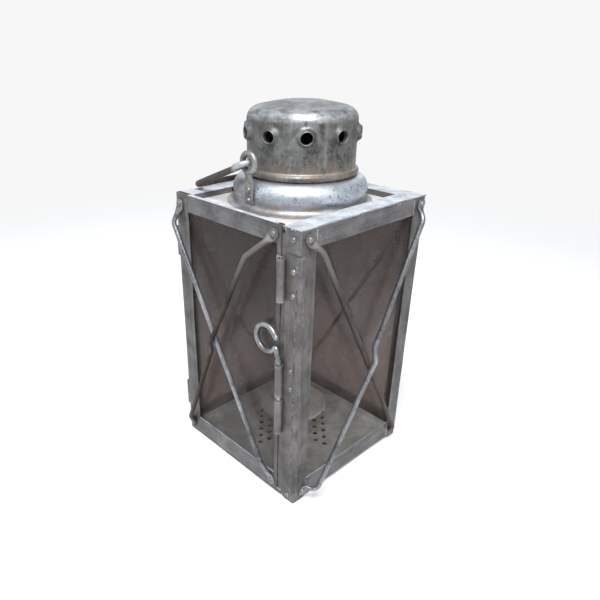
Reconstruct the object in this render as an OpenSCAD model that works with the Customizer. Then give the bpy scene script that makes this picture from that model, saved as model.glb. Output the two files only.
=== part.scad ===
// Square candle lantern with a hinged glass door, crossed guard wires, a vented chimney and a swinging bail.
// Millimetres. +Z is up, the door faces -Y, and the origin is the centre of the base.

/* [Body] */
// Outer width and depth of the square body
body_w = 140; // [139:1:160]
// Height of the body, from the feet to the top of the rails
body_h = 232.5; // [200:0.5:280]
// Thickness of the folded sheet
sheet = 0.9; // [0.7:0.1:1]
// Width of the corner posts' flanges
post_w = 14.5; // [12:0.5:16]
// Thickness of the glass panes
glass = 2; // [1.5:0.1:2.1]

/* [Rails] */
// Height of the top rails
top_rail_h = 14; // [12:0.5:16]
// Top edge of the bottom rails
bottom_rail_top = 19; // [16:0.5:22]
// Width of the top rails' inward flange
top_flange = 17; // [14:0.5:17]

/* [Door] */
// Depth of the door's channel frame
door_t = 3.8; // [3.6:0.1:4]
// Width of the stile on the hinge side
hinge_stile_w = 14.7; // [12:0.1:16]
// Width of the stile on the latch side
latch_stile_w = 3.6; // [3:0.1:5]

/* [Guard wires] */
// Diameter of the guard wires
guard_d = 4; // [3:0.1:4]
// Distance from the face to the centre of a guard wire
guard_off = 6.5; // [6:0.1:8]

/* [Chimney] */
// Largest radius of the domed collar
dome_r = 52.5; // [52:0.5:52.5]
// Outer radius of the vent cap's wall
cap_r = 41.75; // [40:0.25:42]
// Height of the vent cap's shoulder above the body
cap_h = 66; // [60:1:75]
// Number of air holes
vents = 10; // [6:1:10]
// Radius of an air hole
vent_r = 4; // [3:0.1:4.2]

/* [Bail] */
// Distance from the bail's pivot to the middle of its grip
bail_len = 74.4; // [73:0.2:76]
// Radius of the bail's wire
bail_r = 2.4; // [2:0.1:2.5]

/* [Candle holder] */
// Radius of the drip dish
dish_r = 30; // [24:1:34]
// Inner radius of the candle socket
socket_r = 11.2; // [10:0.1:12]

/* [Hidden] */
$fn = 48;
half = body_w / 2;
plate_half = half - 2 * sheet - 0.05;
rivet_r = 1;
rivet_hole_r = 1.05;
rivet_head_r = 2.3;
rivet_head_h = 1.4;
rail_half = half - post_w;
rail_bottom_z = 2;
roof_z = body_h - 5.5;
floor_z = rail_bottom_z + sheet;
floor_top = floor_z + sheet;
pane_gap = 0.1;
pane_z1 = roof_z - 0.1;
pane_half = half - 3.5;
rib_face = half - sheet - pane_gap - glass - pane_gap;
// Door: it covers the hinge post, so that post sits one door depth back
door_sheet = 0.8;
door_lip = 5;
door_x0 = -half + 0.3;
door_x1 = half - 19.2;
door_z0 = 5;
door_z1 = body_h;
door_back = -half + door_t;
post_front = door_back + 0.3;
frame_front = post_front + sheet;
latch_flange_x = half - 14.1;
// Hinge: the pins stand just outside the left side
hinge_x = -half - 2.1;
hinge_y = -half + 2.1;
hinge_z = [0.17 * body_h, 0.82 * body_h];
knuckle_r = 2;
hinge_pin_r = 1;
leaf_t = 0.8;
leaf_h = 24;
door_knuckle_h = 9.6;
knuckle_gap = 0.2;
// Latch: all its tubes share one axis
latch_x = half - 15.8;
latch_y = -half - 3.1;
tube_r = 3.1;
tube_bore = 2.3;
pin_r = 2;
keeper_z = [0.286 * body_h, 0.417 * body_h];
guide_low_z = [0.432 * body_h, 0.55 * body_h];
guide_top_z = [0.77 * body_h, 0.907 * body_h];
eye_r = 10.6;
eye_z = 0.624 * body_h;
eye_x = latch_x - 14;
// Door stop: a folded strip riveted inside the latch post
stop_x = half - 18.8;
stop_y = -half + sheet + 0.05;
stop_t = 0.8;
post_rivet_x = half - 7;
stop_rivet_z = [0.469 * body_h, 0.536 * body_h, 0.794 * body_h, 0.87 * body_h];
tab_rivet_z = body_h - 7.5;
tab_h = 16.5;
foot_rivet_z = 5.2;
// Chimney
dome_arc_r = 10.5;
dome_z = body_h + 6.5;
dome_x = dome_r - dome_arc_r;
cove_r = 4.4;
collar_z = roof_z + sheet;
// Lips of the top flanges: they leave the middle of each side free for the collar
lip_z = collar_z + 0.05;
lip_from = 25.5;
lip_to = half - top_flange;
collar_flange = 1.5;
flue_r = 40;
neck_r = cap_r - sheet - 0.15;
bead_r = 2.7;
bead_z = body_h + 19.8;
vent_z = body_h + 48;
shoulder_r = 10;
cap_rise = 4;
// Bail and its ears
ear_ring_r = 6.5;
ear_wire_r = 2.2;
ear_y = dome_r + 0.95;
ear_t = 1.8;
ear_w = 8.5;
ear_z = body_h + 30.5;
ear_rivet_z = [body_h + 3.5, body_h + 11];
grip_z = body_h + bail_r + 0.25;
bail_tilt = asin((ear_z - grip_z) / bail_len);
// Candle holder and the floor's air holes
dish_z = 27;
dish_depth = 6;
hole_r = 2.3;
hole_pitch = 10;
// Wires: bends are a hair thicker than the straights, which reach a little way into them
bend_extra = 0.05;
bend_lap = 0.3;
// A guard wire ends in a flat eye, and its round part starts beside the rivet's head
eye_disc_r = 4.2;
eye_disc_t = 1.4;
eye_reach = 4.6;
eye_lift = 2.3;
guard_over = guard_off + guard_d + 0.3;
// Paths of the guard wires: across and up as fractions of half the width and of the height, then stand-off
guard_under_path = [[-0.9, 0.97, 0], [-0.8, 0.93, guard_off], [0.8, 0.072, guard_off], [0.885, 0.045, 0]];
guard_over_path = [
    [0.92, 0.974, 0], [0.857, 0.925, guard_off], [0.186, 0.512, guard_off],
    [0.143, 0.466, guard_over], [-0.76, 0.055, guard_over], [-0.857, 0.037, 0]
];
guard_left_path = [
    [0.85, 0.974, 0], [0.8, 0.925, guard_off], [0.186, 0.512, guard_off],
    [0.143, 0.466, guard_over], [-0.76, 0.055, guard_over], [-0.857, 0.037, 0]
];
door_under_path = [
    [-0.926, 0.963, 0], [-0.957, 0.9, guard_off], [0.543, 0.12, guard_off], [0.636, 0.041, 0]
];
door_over_path = [
    [0.636, 0.968, 0], [0.55, 0.935, guard_off], [0.371, 0.886, guard_over], [-0.271, 0.508, guard_over],
    [-0.329, 0.468, guard_off], [-0.87, 0.085, guard_off], [-0.926, 0.039, 0]
];
// Colours
zinc = [0.56, 0.57, 0.58];
bright_zinc = [0.74, 0.76, 0.79];
dark_iron = [0.33, 0.29, 0.26];
smoked_glass = [0.36, 0.32, 0.31, 0.45];
tin = [0.6, 0.58, 0.53];

// ---- Helpers ----

function unit(v) = v / norm(v);

// Angle between two directions, and how far a bend eats into each leg
function turn_angle(a, b, c) = acos(unit(b - a) * unit(c - b));
function trim(a, b, c, bend_r) = bend_r * tan(turn_angle(a, b, c) / 2);

// Points on a circular arc, both ends included
function arc(x, y, r, from, to, steps) = [
    for (i = [0:steps]) let (a = from + (to - from) * i / steps) [x + r * cos(a), y + r * sin(a)]
];

// Turns a path in fractions into points on the front face
function face_points(path) = [
    for (p = path) [p[0] * half, -half - p[2], p[1] * body_h]
];

// Where a guard wire's round part starts, beside the rivet and towards the next point
function beside_eye(eye, next) = let (d = unit([next[0] - eye[0], 0, next[2] - eye[2]]))
    eye + eye_reach * d - [0, eye_lift, 0];

// The rivets' places on the face, at a path's two ends
function path_ends(path) = [
    for (p = [path[0], path[len(path) - 1]]) [p[0] * half, p[1] * body_h]
];

// The four sides, counted anticlockwise from the door: 0 front, 1 right, 2 back, 3 left
module side(k) {
    rotate([0, 0, 90 * k])
        children();
}

// Straight round rod between two points
module rod(a, b, r) {
    d = b - a;
    translate(a)
        rotate([0, acos(d[2] / norm(d)), atan2(d[1], d[0])])
            cylinder(r = r, h = norm(d));
}

// Round bend that joins two straight legs at b
module bend(a, b, c, r, bend_r) {
    along = unit(b - a);
    onward = unit(c - b);
    inward = unit(onward - (onward * along) * along);
    side_axis = cross(-inward, along);
    centre = b - trim(a, b, c, bend_r) * along + bend_r * inward;
    multmatrix([
        [-inward[0], along[0], side_axis[0], centre[0]],
        [-inward[1], along[1], side_axis[1], centre[1]],
        [-inward[2], along[2], side_axis[2], centre[2]],
        [0, 0, 0, 1]
    ])
        rotate_extrude(angle = turn_angle(a, b, c))
            translate([bend_r, 0])
                circle(r);
}

// Round wire along a list of points, with a bend at each inner point
module wire(points, r, bend_r) {
    last = len(points) - 1;
    for (i = [0:last - 1]) {
        a = points[i];
        b = points[i + 1];
        cut_a = i == 0 ? 0 : trim(points[i - 1], a, b, bend_r) - bend_lap;
        cut_b = i == last - 1 ? 0 : trim(a, b, points[i + 2], bend_r) - bend_lap;
        rod(a + cut_a * unit(b - a), b - cut_b * unit(b - a), r);
    }
    for (i = [1:last - 1])
        bend(points[i - 1], points[i], points[i + 1], r + bend_extra, bend_r);
}

// Folded right angle: legs along +x and +y from the outer corner, with a rounded fold
module angle_section(reach_x, reach_y, t = sheet) {
    fold = 2 * t;
    translate([fold, 0])
        square([reach_x - fold, t]);
    translate([0, fold])
        square([t, reach_y - fold]);
    intersection() {
        square(fold);
        translate([fold, fold])
            difference() {
                circle(fold);
                circle(fold - t);
            }
    }
}

// What a rounded foot takes off the free lower corner of a post's flange, which ends at x = 0
module foot_cut(round_r = 6) {
    difference() {
        translate([-1, -1, -1])
            cube([round_r + 1, sheet + 2, round_r + 1]);
        translate([round_r, -2, round_r])
            rotate([-90, 0, 0])
                cylinder(r = round_r, h = sheet + 4);
    }
}

// Corner post with its outer corner at the origin and legs along +x and +y
module corner_post(reach_x, reach_y) {
    difference() {
        linear_extrude(body_h - sheet)
            angle_section(reach_x, reach_y);
        translate([reach_x, 0, 0])
            mirror([1, 0, 0])
                foot_cut();
        translate([0, reach_y, 0])
            rotate([0, 0, -90])
                foot_cut();
    }
}

// Rivet standing out of the face y = 0 towards -y, on a part of thickness lift
module rivet(lift, depth) {
    translate([0, -lift, 0])
        rotate([90, 0, 0])
            rotate_extrude()
                intersection() {
                    square([rivet_head_r, rivet_head_h]);
                    translate([0, rivet_head_h - 2.6])
                        circle(2.6);
                }
    translate([0, depth, 0])
        rotate([90, 0, 0])
            cylinder(r = rivet_r, h = depth + lift);
}

// Drilling for a rivet through whatever lies at the face
module rivet_hole(depth = 4) {
    translate([0, depth, 0])
        rotate([90, 0, 0])
            cylinder(r = rivet_hole_r, h = depth + 4);
}

module rivets_at(spots, lift, depth) {
    for (s = spots)
        translate([s[0], -half, s[1]])
            rivet(lift, depth);
}

module rivet_holes_at(spots) {
    for (s = spots)
        translate([s[0], -half, s[1]])
            rivet_hole();
}

// Guard wire on the front face with a flat riveted eye at each end
module guard(path) {
    points = face_points(path);
    last = len(points) - 1;
    first_end = beside_eye(points[0], points[1]);
    last_end = beside_eye(points[last], points[last - 1]);
    wire([first_end, for (i = [1:last - 1]) points[i], last_end], guard_d / 2, 5);
    for (p = [first_end, last_end])
        translate(p)
            sphere(guard_d / 2 + bend_extra);
    difference() {
        for (p = [points[0], points[last]])
            translate(p)
                rotate([90, 0, 0])
                    cylinder(r = eye_disc_r, h = eye_disc_t);
        rivet_holes_at(path_ends(path));
    }
}

right_spots = concat(path_ends(guard_under_path), path_ends(guard_over_path));
left_spots = concat(path_ends(guard_under_path), path_ends(guard_left_path));
door_spots = concat(path_ends(door_under_path), path_ends(door_over_path));

// ---- Corner posts ----

module post_latch() {
    color(zinc)
        difference() {
            translate([half, -half, 0])
                rotate([0, 0, 90])
                    corner_post(post_w, half - latch_flange_x);
            side(1)
                rivet_holes_at(right_spots);
            rivet_holes_at([
                for (z = stop_rivet_z) [post_rivet_x, z],
                [post_rivet_x, tab_rivet_z],
                [post_rivet_x, foot_rivet_z]
            ]);
        }
}

module post_hinge() {
    color(zinc)
        difference() {
            translate([-half, post_front, 0])
                corner_post(post_w, -post_front - rail_half);
            side(3)
                rivet_holes_at(left_spots);
        }
}

module post_back_right() {
    color(zinc)
        difference() {
            translate([half, half, 0])
                rotate([0, 0, 180])
                    corner_post(post_w, post_w);
            side(1)
                rivet_holes_at(right_spots);
            side(2)
                rivet_holes_at(right_spots);
        }
}

module post_back_left() {
    color(zinc)
        difference() {
            translate([-half, half, 0])
                rotate([0, 0, -90])
                    corner_post(post_w, post_w);
            side(2)
                rivet_holes_at(right_spots);
            side(3)
                rivet_holes_at(left_spots);
        }
}

// ---- Rails ----

// Folded strip along the front face between the posts, corner at height z, upright leg up or down
module rail_strip(z, reach_in, reach_z, down) {
    translate([-rail_half, -half, z])
        rotate([90, 0, 90])
            linear_extrude(2 * rail_half)
                mirror([0, down ? 1 : 0])
                    angle_section(reach_in, reach_z);
}

// Flat bar of the top flange that runs on over a post
module flange_end(x0, x1) {
    translate([x0, -half, body_h - sheet])
        cube([x1 - x0, top_flange, sheet]);
}

// Inner edge of a top flange, turned down onto the roof plate on both sides of the collar
module flange_lip(u0, u1) {
    for (span = [[u0, -lip_from], [lip_from, u1]])
        translate([span[0], -half + top_flange - sheet, lip_z])
            cube([span[1] - span[0], sheet, body_h - sheet / 2 - lip_z]);
}

module rail_top_right() {
    color(zinc)
        difference() {
            side(1)
                union() {
                    rail_strip(body_h, top_flange, top_rail_h, true);
                    flange_lip(frame_front + 0.1, lip_to - sheet);
                    flange_end(rail_half, half);
                    flange_end(-half - sheet, -rail_half);
                    translate([-half - sheet, -half, body_h - tab_h])
                        cube([sheet, half - latch_flange_x, tab_h]);
                }
            rivet_holes_at([[post_rivet_x, tab_rivet_z]]);
        }
}

module rail_top_back() {
    color(zinc)
        side(2)
            union() {
                flange_lip(-lip_to, lip_to);
                intersection() {
                    rail_strip(body_h, top_flange, top_rail_h, true);
                    union() {
                        translate([-half, -half - 1, 0])
                            cube([body_w, sheet + 1, body_h - sheet]);
                        translate([-lip_to, -half - 1, 0])
                            cube([2 * lip_to, body_w, 2 * body_h]);
                    }
                }
            }
}

module rail_top_left() {
    color(zinc)
        side(3)
            union() {
                rail_strip(body_h, top_flange, top_rail_h, true);
                flange_lip(sheet - lip_to, -frame_front - 0.1);
                flange_end(-half, -rail_half);
                flange_end(rail_half, -post_front);
            }
}

// Bottom rail with a rounded hem along its upper edge
module bottom_rail() {
    rail_strip(rail_bottom_z, post_w - 0.1, bottom_rail_top - rail_bottom_z, false);
    translate([-rail_half, -half + 0.15, bottom_rail_top - 0.4])
        rotate([0, 90, 0])
            cylinder(r = 0.75, h = 2 * rail_half);
}

module rail_bottom_right() {
    color(zinc)
        side(1)
            bottom_rail();
}

module rail_bottom_back() {
    color(zinc)
        side(2)
            bottom_rail();
}

module rail_bottom_left() {
    color(zinc)
        side(3)
            bottom_rail();
}

// Sill under the door, with a ledge that carries the floor's front edge
module front_sill() {
    color(zinc) {
        translate([door_x0, -half, 0.8])
            cube([latch_flange_x - 0.4 - door_x0, sheet, door_z0 - 0.3 - 0.8]);
        translate([-rail_half + 0.2, -half + sheet, rail_bottom_z])
            cube([2 * rail_half - 0.4, post_w, sheet]);
    }
}

// Strip folded into a step, so that the door closes against its inner leaf
module door_stop() {
    leaf_y = post_front - 0.1;
    color(zinc)
        difference() {
            translate([0, 0, floor_top])
                linear_extrude(roof_z - 0.1 - floor_top) {
                    translate([stop_x, stop_y])
                        square([half - 3.5 - stop_x, stop_t]);
                    translate([stop_x, stop_y])
                        square([stop_t, leaf_y + stop_t - stop_y]);
                    translate([stop_x - 6, leaf_y])
                        square([6 + stop_t, stop_t]);
                }
            rivet_holes_at([for (z = stop_rivet_z) [post_rivet_x, z]]);
        }
}

// ---- Roof and floor ----

// Plate between the walls, with a front edge level with the hinge post's inner face
module plate(z) {
    translate([-plate_half, frame_front, z])
        cube([2 * plate_half, plate_half - frame_front, sheet]);
}

// Low rib inside the panes, which keeps them against the walls
module pane_rib(z, h) {
    translate([0, 0, z])
        linear_extrude(h)
            difference() {
                translate([-rib_face, frame_front])
                    square([2 * rib_face, rib_face - frame_front]);
                translate([-rib_face + sheet, frame_front + sheet])
                    square([2 * (rib_face - sheet), rib_face - frame_front - 2 * sheet]);
            }
}

module roof_plate() {
    color(zinc)
        difference() {
            union() {
                plate(roof_z);
                pane_rib(roof_z - 5, 5);
            }
            translate([0, 0, roof_z - 1])
                cylinder(r = flue_r, h = 4);
        }
}

module floor_plate() {
    color(tin)
        difference() {
            union() {
                plate(floor_z);
                pane_rib(floor_top, 5);
            }
            rotate([0, 0, -45])
                for (s = [-1, 1]) {
                    for (i = [-2.5:2.5])
                        translate([i * hole_pitch, s * 30, 0])
                            cylinder(r = hole_r, h = 3 * floor_top);
                    for (i = [-2:2])
                        translate([i * hole_pitch, s * 22, 0])
                            cylinder(r = hole_r, h = 3 * floor_top);
                }
        }
}

// ---- Chimney ----

// Spun sheet: a narrow flange on the roof, a cove, a round dome and a neck for the cap
module collar() {
    cove_z = collar_z + sheet + cove_r;
    cove_x = dome_x + sqrt(pow(dome_arc_r + cove_r, 2) - pow(dome_z - cove_z, 2));
    meet = atan2(dome_z - cove_z, dome_x - cove_x);
    color(bright_zinc)
        difference() {
            rotate_extrude($fn = 120)
                polygon(concat(
                    [[cove_x + collar_flange, collar_z], [cove_x + collar_flange, collar_z + sheet]],
                    arc(cove_x, cove_z, cove_r, 270, meet, 10),
                    arc(dome_x, dome_z, dome_arc_r, meet - 178, 90, 16),
                    [[neck_r, dome_z + dome_arc_r], [neck_r, bead_z + 4]],
                    [[neck_r - sheet, bead_z + 4], [neck_r - sheet, dome_z + dome_arc_r - sheet]],
                    arc(dome_x, dome_z, dome_arc_r - sheet, 90, meet - 178, 16),
                    arc(cove_x, cove_z, cove_r + sheet, meet, 270, 10)
                ));
            for (k = [0, 2])
                side(k)
                    for (z = ear_rivet_z)
                        translate([0, -ear_y - 2, z])
                            rotate([-90, 0, 0])
                                cylinder(r = rivet_hole_r, h = 10);
        }
}

// Extruded air hole, a short flared nozzle pointing out along +x
module vent_boss() {
    translate([cap_r - 0.8, 0, vent_z])
        rotate([0, 90, 0])
            cylinder(r1 = 6.6, r2 = vent_r + 0.8, h = 3.6);
}

module vent_cap() {
    wall_in = cap_r - sheet;
    crown_r = ((cap_r - shoulder_r) * (cap_r - shoulder_r) + cap_rise * cap_rise) / (2 * cap_rise);
    crown_z = body_h + cap_h + cap_rise - crown_r;
    crown_a = asin((cap_r - shoulder_r) / crown_r);
    color(zinc)
        difference() {
            union() {
                rotate_extrude($fn = 120)
                    polygon(concat(
                        [[cap_r, bead_z - bead_r]],
                        arc(cap_r - shoulder_r, body_h + cap_h - shoulder_r, shoulder_r, 0, 86, 12),
                        arc(0, crown_z, crown_r, 90 - crown_a, 90, 8),
                        arc(0, crown_z, crown_r - sheet, 90, 90 - crown_a, 8),
                        arc(cap_r - shoulder_r, body_h + cap_h - shoulder_r, shoulder_r - sheet, 86, 0, 12),
                        [[wall_in, bead_z - bead_r]]
                    ));
                rotate_extrude($fn = 120)
                    intersection() {
                        translate([cap_r, bead_z])
                            circle(bead_r);
                        translate([cap_r - sheet / 2, bead_z - bead_r])
                            square([2 * bead_r, 2 * bead_r]);
                    }
                difference() {
                    for (i = [0:vents - 1])
                        rotate([0, 0, -42 + i * 360 / vents])
                            vent_boss();
                    translate([0, 0, body_h])
                        cylinder(r = cap_r - sheet / 2, h = 100, $fn = 120);
                }
            }
            for (i = [0:vents - 1])
                rotate([0, 0, -42 + i * 360 / vents])
                    translate([cap_r - 6, 0, vent_z])
                        rotate([0, 90, 0])
                            cylinder(r = vent_r, h = 12);
        }
}

// Ear on the front of the collar: a flat strap that ends in a ring, worn straight inside by the bail
module ear() {
    difference() {
        union() {
            translate([-ear_w / 2, -ear_y - ear_t / 2, body_h + 0.6])
                cube([ear_w, ear_t, ear_z - ear_ring_r - body_h - 0.6]);
            translate([0, -ear_y, ear_z])
                rotate([90, 0, 0])
                    rotate_extrude()
                        translate([ear_ring_r, 0])
                            circle(ear_wire_r);
        }
        for (z = ear_rivet_z)
            translate([0, -ear_y - 3, z])
                rotate([-90, 0, 0])
                    cylinder(r = rivet_hole_r, h = 6);
        translate([0, -ear_y - 3, ear_z])
            rotate([-90, 0, 0])
                cylinder(r = ear_ring_r - ear_wire_r + 0.15, h = 6);
    }
}

module ear_front() {
    color(zinc)
        ear();
}

module ear_back() {
    color(zinc)
        side(2)
            ear();
}

module ear_rivets() {
    color(bright_zinc)
        for (k = [0, 2])
            side(k)
                for (z = ear_rivet_z)
                    translate([0, -ear_y - ear_t / 2, z])
                        rivet(0, 3.6);
}

// ---- Glass ----

// Upright pane behind the front face, between two distances along it
module pane(u0, u1) {
    color(smoked_glass)
        translate([u0, -half + sheet + pane_gap, floor_top + 0.1])
            cube([u1 - u0, glass, pane_z1 - floor_top - 0.1]);
}

module pane_right() {
    side(1)
        pane(-pane_half, pane_half);
}

module pane_back() {
    side(2)
        pane(-pane_half, pane_half);
}

module pane_left() {
    side(3)
        pane(-pane_half, -frame_front - 0.5);
}

// ---- Candle holder ----

module candle_stem() {
    color(tin)
        translate([0, 0, floor_top])
            rotate_extrude($fn = 96)
                polygon([
                    [7, 0], [16, 0], [16, sheet], [9.5, sheet + 1.5], [8, 4], [8, dish_z - floor_top], [7, dish_z - floor_top]
                ]);
}

module drip_dish() {
    color(tin)
        translate([0, 0, dish_z])
            rotate_extrude($fn = 96)
                union() {
                    polygon([
                        [0, 0], [dish_r - 3, 0], [dish_r, dish_depth], [dish_r - sheet, dish_depth],
                        [dish_r - 3.6, sheet], [0, sheet]
                    ]);
                    translate([dish_r, dish_depth])
                        circle(1);
                }
}

module candle_socket() {
    color(tin)
        translate([0, 0, dish_z + sheet])
            difference() {
                cylinder(r = socket_r + 0.8, h = 22, $fn = 96);
                translate([0, 0, 0.8])
                    cylinder(r = socket_r, h = 22, $fn = 96);
            }
}

// ---- Guard wires ----

module guard_right_under() {
    color(dark_iron)
        side(1)
            guard(guard_under_path);
}

module guard_right_over() {
    color(bright_zinc)
        side(1)
            guard(guard_over_path);
}

module guard_back_under() {
    color(dark_iron)
        side(2)
            guard(guard_under_path);
}

module guard_back_over() {
    color(bright_zinc)
        side(2)
            guard(guard_over_path);
}

module guard_left_under() {
    color(dark_iron)
        side(3)
            guard(guard_under_path);
}

module guard_left_over() {
    color(bright_zinc)
        side(3)
            guard(guard_left_path);
}

module guard_rivets() {
    color(bright_zinc) {
        for (k = [1, 2])
            side(k)
                rivets_at(right_spots, eye_disc_t, sheet);
        side(3)
            rivets_at(left_spots, eye_disc_t, sheet);
    }
}

module post_rivets() {
    color(bright_zinc) {
        rivets_at([for (z = stop_rivet_z) [post_rivet_x, z]], 0, sheet + stop_t);
        rivets_at([[post_rivet_x, tab_rivet_z]], sheet, sheet);
        rivets_at([[post_rivet_x, foot_rivet_z]], 0, sheet);
    }
}

// ---- Latch and hinge ----

// Upright tube on the latch's axis
module latch_tube(z) {
    translate([latch_x, latch_y, z[0]])
        difference() {
            cylinder(r = tube_r, h = z[1] - z[0]);
            translate([0, 0, -1])
                cylinder(r = tube_bore, h = z[1] - z[0] + 2);
        }
}

// Tube on the door's latch stile: the sheet runs off the back of the tube as a flap
module guide_tube(z) {
    difference() {
        union() {
            latch_tube(z);
            translate([door_x1 - latch_stile_w + 0.2, -half - door_sheet, z[0]])
                cube([latch_x - door_x1 + latch_stile_w - 0.2, door_sheet, z[1] - z[0]]);
        }
        translate([latch_x, latch_y, z[0] - 1])
            cylinder(r = tube_bore, h = z[1] - z[0] + 2);
    }
}

module guide_tube_upper() {
    color(zinc)
        guide_tube(guide_top_z);
}

module guide_tube_middle() {
    color(zinc)
        guide_tube(guide_low_z);
}

// Fixed tube that the pin drops into: its foot lies on the door stop strip
module keeper_tube() {
    h = keeper_z[1] - keeper_z[0];
    foot_y = stop_y - door_sheet;
    color(zinc)
        difference() {
            union() {
                latch_tube(keeper_z);
                translate([latch_x - 0.4, -half - 0.6, keeper_z[0]])
                    cube([door_sheet, stop_y + half + 0.6, h]);
                translate([stop_x + 0.2, foot_y, keeper_z[0]])
                    cube([latch_flange_x - 0.3 - stop_x - 0.2, door_sheet, h]);
            }
            translate([latch_x, latch_y, keeper_z[0] - 1])
                cylinder(r = tube_bore, h = h + 2);
        }
}

// Pin with a finger eye: it drops through the middle guide tube into the keeper
module latch_pin() {
    tip = [latch_x, latch_y, keeper_z[0] + 5 + pin_r];
    shank_top = [latch_x, latch_y, guide_low_z[1] + 2.5];
    eye = [eye_x, latch_y, eye_z];
    join = eye + eye_r * [cos(-20), 0, sin(-20)];
    leave = eye + eye_r * [cos(35), 0, sin(35)];
    end = leave + 5.5 * [sin(35), 0, -cos(35)];
    color(bright_zinc) {
        wire([tip, shank_top, join], pin_r, 3);
        rod(leave, end, pin_r);
        for (p = [tip, join, leave, end])
            translate(p)
                sphere(pin_r + bend_extra);
        translate(eye)
            rotate([90, 0, 0])
                rotate([0, 0, 35])
                    rotate_extrude(angle = 305)
                        translate([eye_r, 0])
                            circle(pin_r);
    }
}

// Hinge leaf and knuckles. The frame's knuckles stand above and below the door's
module knuckle(z0, z1) {
    translate([hinge_x, hinge_y, z0])
        cylinder(r = knuckle_r, h = z1 - z0);
}

module hinge_bore(z, r) {
    translate([hinge_x, hinge_y, z - leaf_h])
        cylinder(r = r, h = 2 * leaf_h);
}

module hinge_leaves_frame() {
    inner_z = door_knuckle_h / 2 + knuckle_gap;
    color(zinc)
        for (z = hinge_z)
            difference() {
                union() {
                    translate([-half - leaf_t, post_front + 0.2, z - leaf_h / 2])
                        cube([leaf_t, 9, leaf_h]);
                    for (s = [-1, 1])
                        translate([0, 0, z + s * (inner_z + leaf_h / 2) / 2]) {
                            h = leaf_h / 2 - inner_z;
                            knuckle(-h / 2, h / 2);
                            translate([-half - leaf_t, hinge_y + 0.9, -h / 2])
                                cube([leaf_t, post_front + 0.3 - hinge_y - 0.9, h]);
                        }
                }
                hinge_bore(z, hinge_pin_r + 0.03);
            }
}

module hinge_leaves_door() {
    color(zinc)
        for (z = hinge_z)
            difference() {
                union() {
                    knuckle(z - door_knuckle_h / 2, z + door_knuckle_h / 2);
                    translate([hinge_x, -half, z - door_knuckle_h / 2])
                        cube([door_x0 - hinge_x, leaf_t, door_knuckle_h]);
                }
                hinge_bore(z, hinge_pin_r + 0.05);
            }
}

module hinge_pins() {
    color(dark_iron)
        for (z = hinge_z) {
            translate([hinge_x, hinge_y, z - leaf_h / 2 - 1])
                cylinder(r = hinge_pin_r, h = leaf_h + 1.1);
            translate([hinge_x, hinge_y, z + leaf_h / 2 + 0.1])
                cylinder(r = 1.7, h = 1);
        }
}

// ---- Door ----

// Channel that holds the glass, seen from its end: front wall wide, edge wall, short lip behind
module channel_section(front_w, lip_w) {
    square([front_w, door_sheet]);
    square([door_sheet, door_t]);
    translate([0, door_t - door_sheet])
        square([lip_w, door_sheet]);
}

module door_stile_hinge() {
    color(zinc)
        difference() {
            translate([door_x0, -half, door_z0])
                linear_extrude(door_z1 - door_z0)
                    channel_section(hinge_stile_w, door_lip);
            rivet_holes_at(door_spots);
        }
}

module door_stile_latch() {
    color(zinc)
        translate([door_x1, -half, door_z0])
            linear_extrude(door_z1 - door_z0)
                mirror([1, 0])
                    channel_section(latch_stile_w, latch_stile_w);
}

// Rail between the stiles, with its edge wall at height z and its face reaching up or down from there
module door_rail(z, h, down) {
    x0 = door_x0 + hinge_stile_w;
    x1 = door_x1 - latch_stile_w;
    translate([x0, -half, z])
        rotate([90, 0, 90])
            linear_extrude(x1 - x0)
                mirror([0, down ? 1 : 0])
                    mirror([1, -1])
                        channel_section(h, door_lip);
}

module door_rail_top() {
    color(zinc)
        difference() {
            door_rail(door_z1, top_rail_h - 0.3, true);
            rivet_holes_at(door_spots);
        }
}

module door_rail_bottom() {
    color(zinc)
        difference() {
            door_rail(door_z0, bottom_rail_top - door_z0, false);
            rivet_holes_at(door_spots);
        }
}

module door_pane() {
    edge = door_sheet + 0.3;
    color(smoked_glass)
        translate([door_x0 + edge, -half + door_sheet + pane_gap, door_z0 + edge])
            cube([door_x1 - door_x0 - 2 * edge, door_t - 2 * door_sheet - 2 * pane_gap, door_z1 - door_z0 - 2 * edge]);
}

module door_guard_under() {
    color(bright_zinc)
        guard(door_under_path);
}

module door_guard_over() {
    color(dark_iron)
        guard(door_over_path);
}

module door_guard_rivets() {
    color(bright_zinc)
        rivets_at(door_spots, eye_disc_t, door_sheet);
}

// ---- Bail ----

// Handle of one wire: built lying flat towards -x from the pivot, then tipped down onto the left edge
module bail() {
    loop_x = -ear_ring_r;
    arm_x = loop_x - ear_ring_r;
    color(dark_iron)
        translate([0, 0, ear_z])
            rotate([0, -bail_tilt, 0]) {
                wire([[arm_x, -ear_y, 0], [-bail_len, -ear_y, 0], [-bail_len, ear_y, 0], [arm_x, ear_y, 0]], bail_r, 9);
                for (s = [-1, 1])
                    translate([loop_x, s * ear_y, 0])
                        rotate_extrude()
                            translate([ear_ring_r, 0])
                                circle(ear_wire_r);
            }
}

post_latch();
post_hinge();
post_back_right();
post_back_left();
rail_top_right();
rail_top_back();
rail_top_left();
rail_bottom_right();
rail_bottom_back();
rail_bottom_left();
front_sill();
door_stop();
roof_plate();
floor_plate();
collar();
vent_cap();
ear_front();
ear_back();
ear_rivets();
pane_right();
pane_back();
pane_left();
candle_stem();
drip_dish();
candle_socket();
guard_right_under();
guard_right_over();
guard_back_under();
guard_back_over();
guard_left_under();
guard_left_over();
guard_rivets();
post_rivets();
keeper_tube();
hinge_leaves_frame();
hinge_pins();
door_stile_hinge();
door_stile_latch();
door_rail_top();
door_rail_bottom();
door_pane();
door_guard_under();
door_guard_over();
door_guard_rivets();
guide_tube_upper();
guide_tube_middle();
hinge_leaves_door();
latch_pin();
bail();
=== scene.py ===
import math

import bmesh
import bpy
from mathutils import Matrix, Vector, noise


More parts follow.
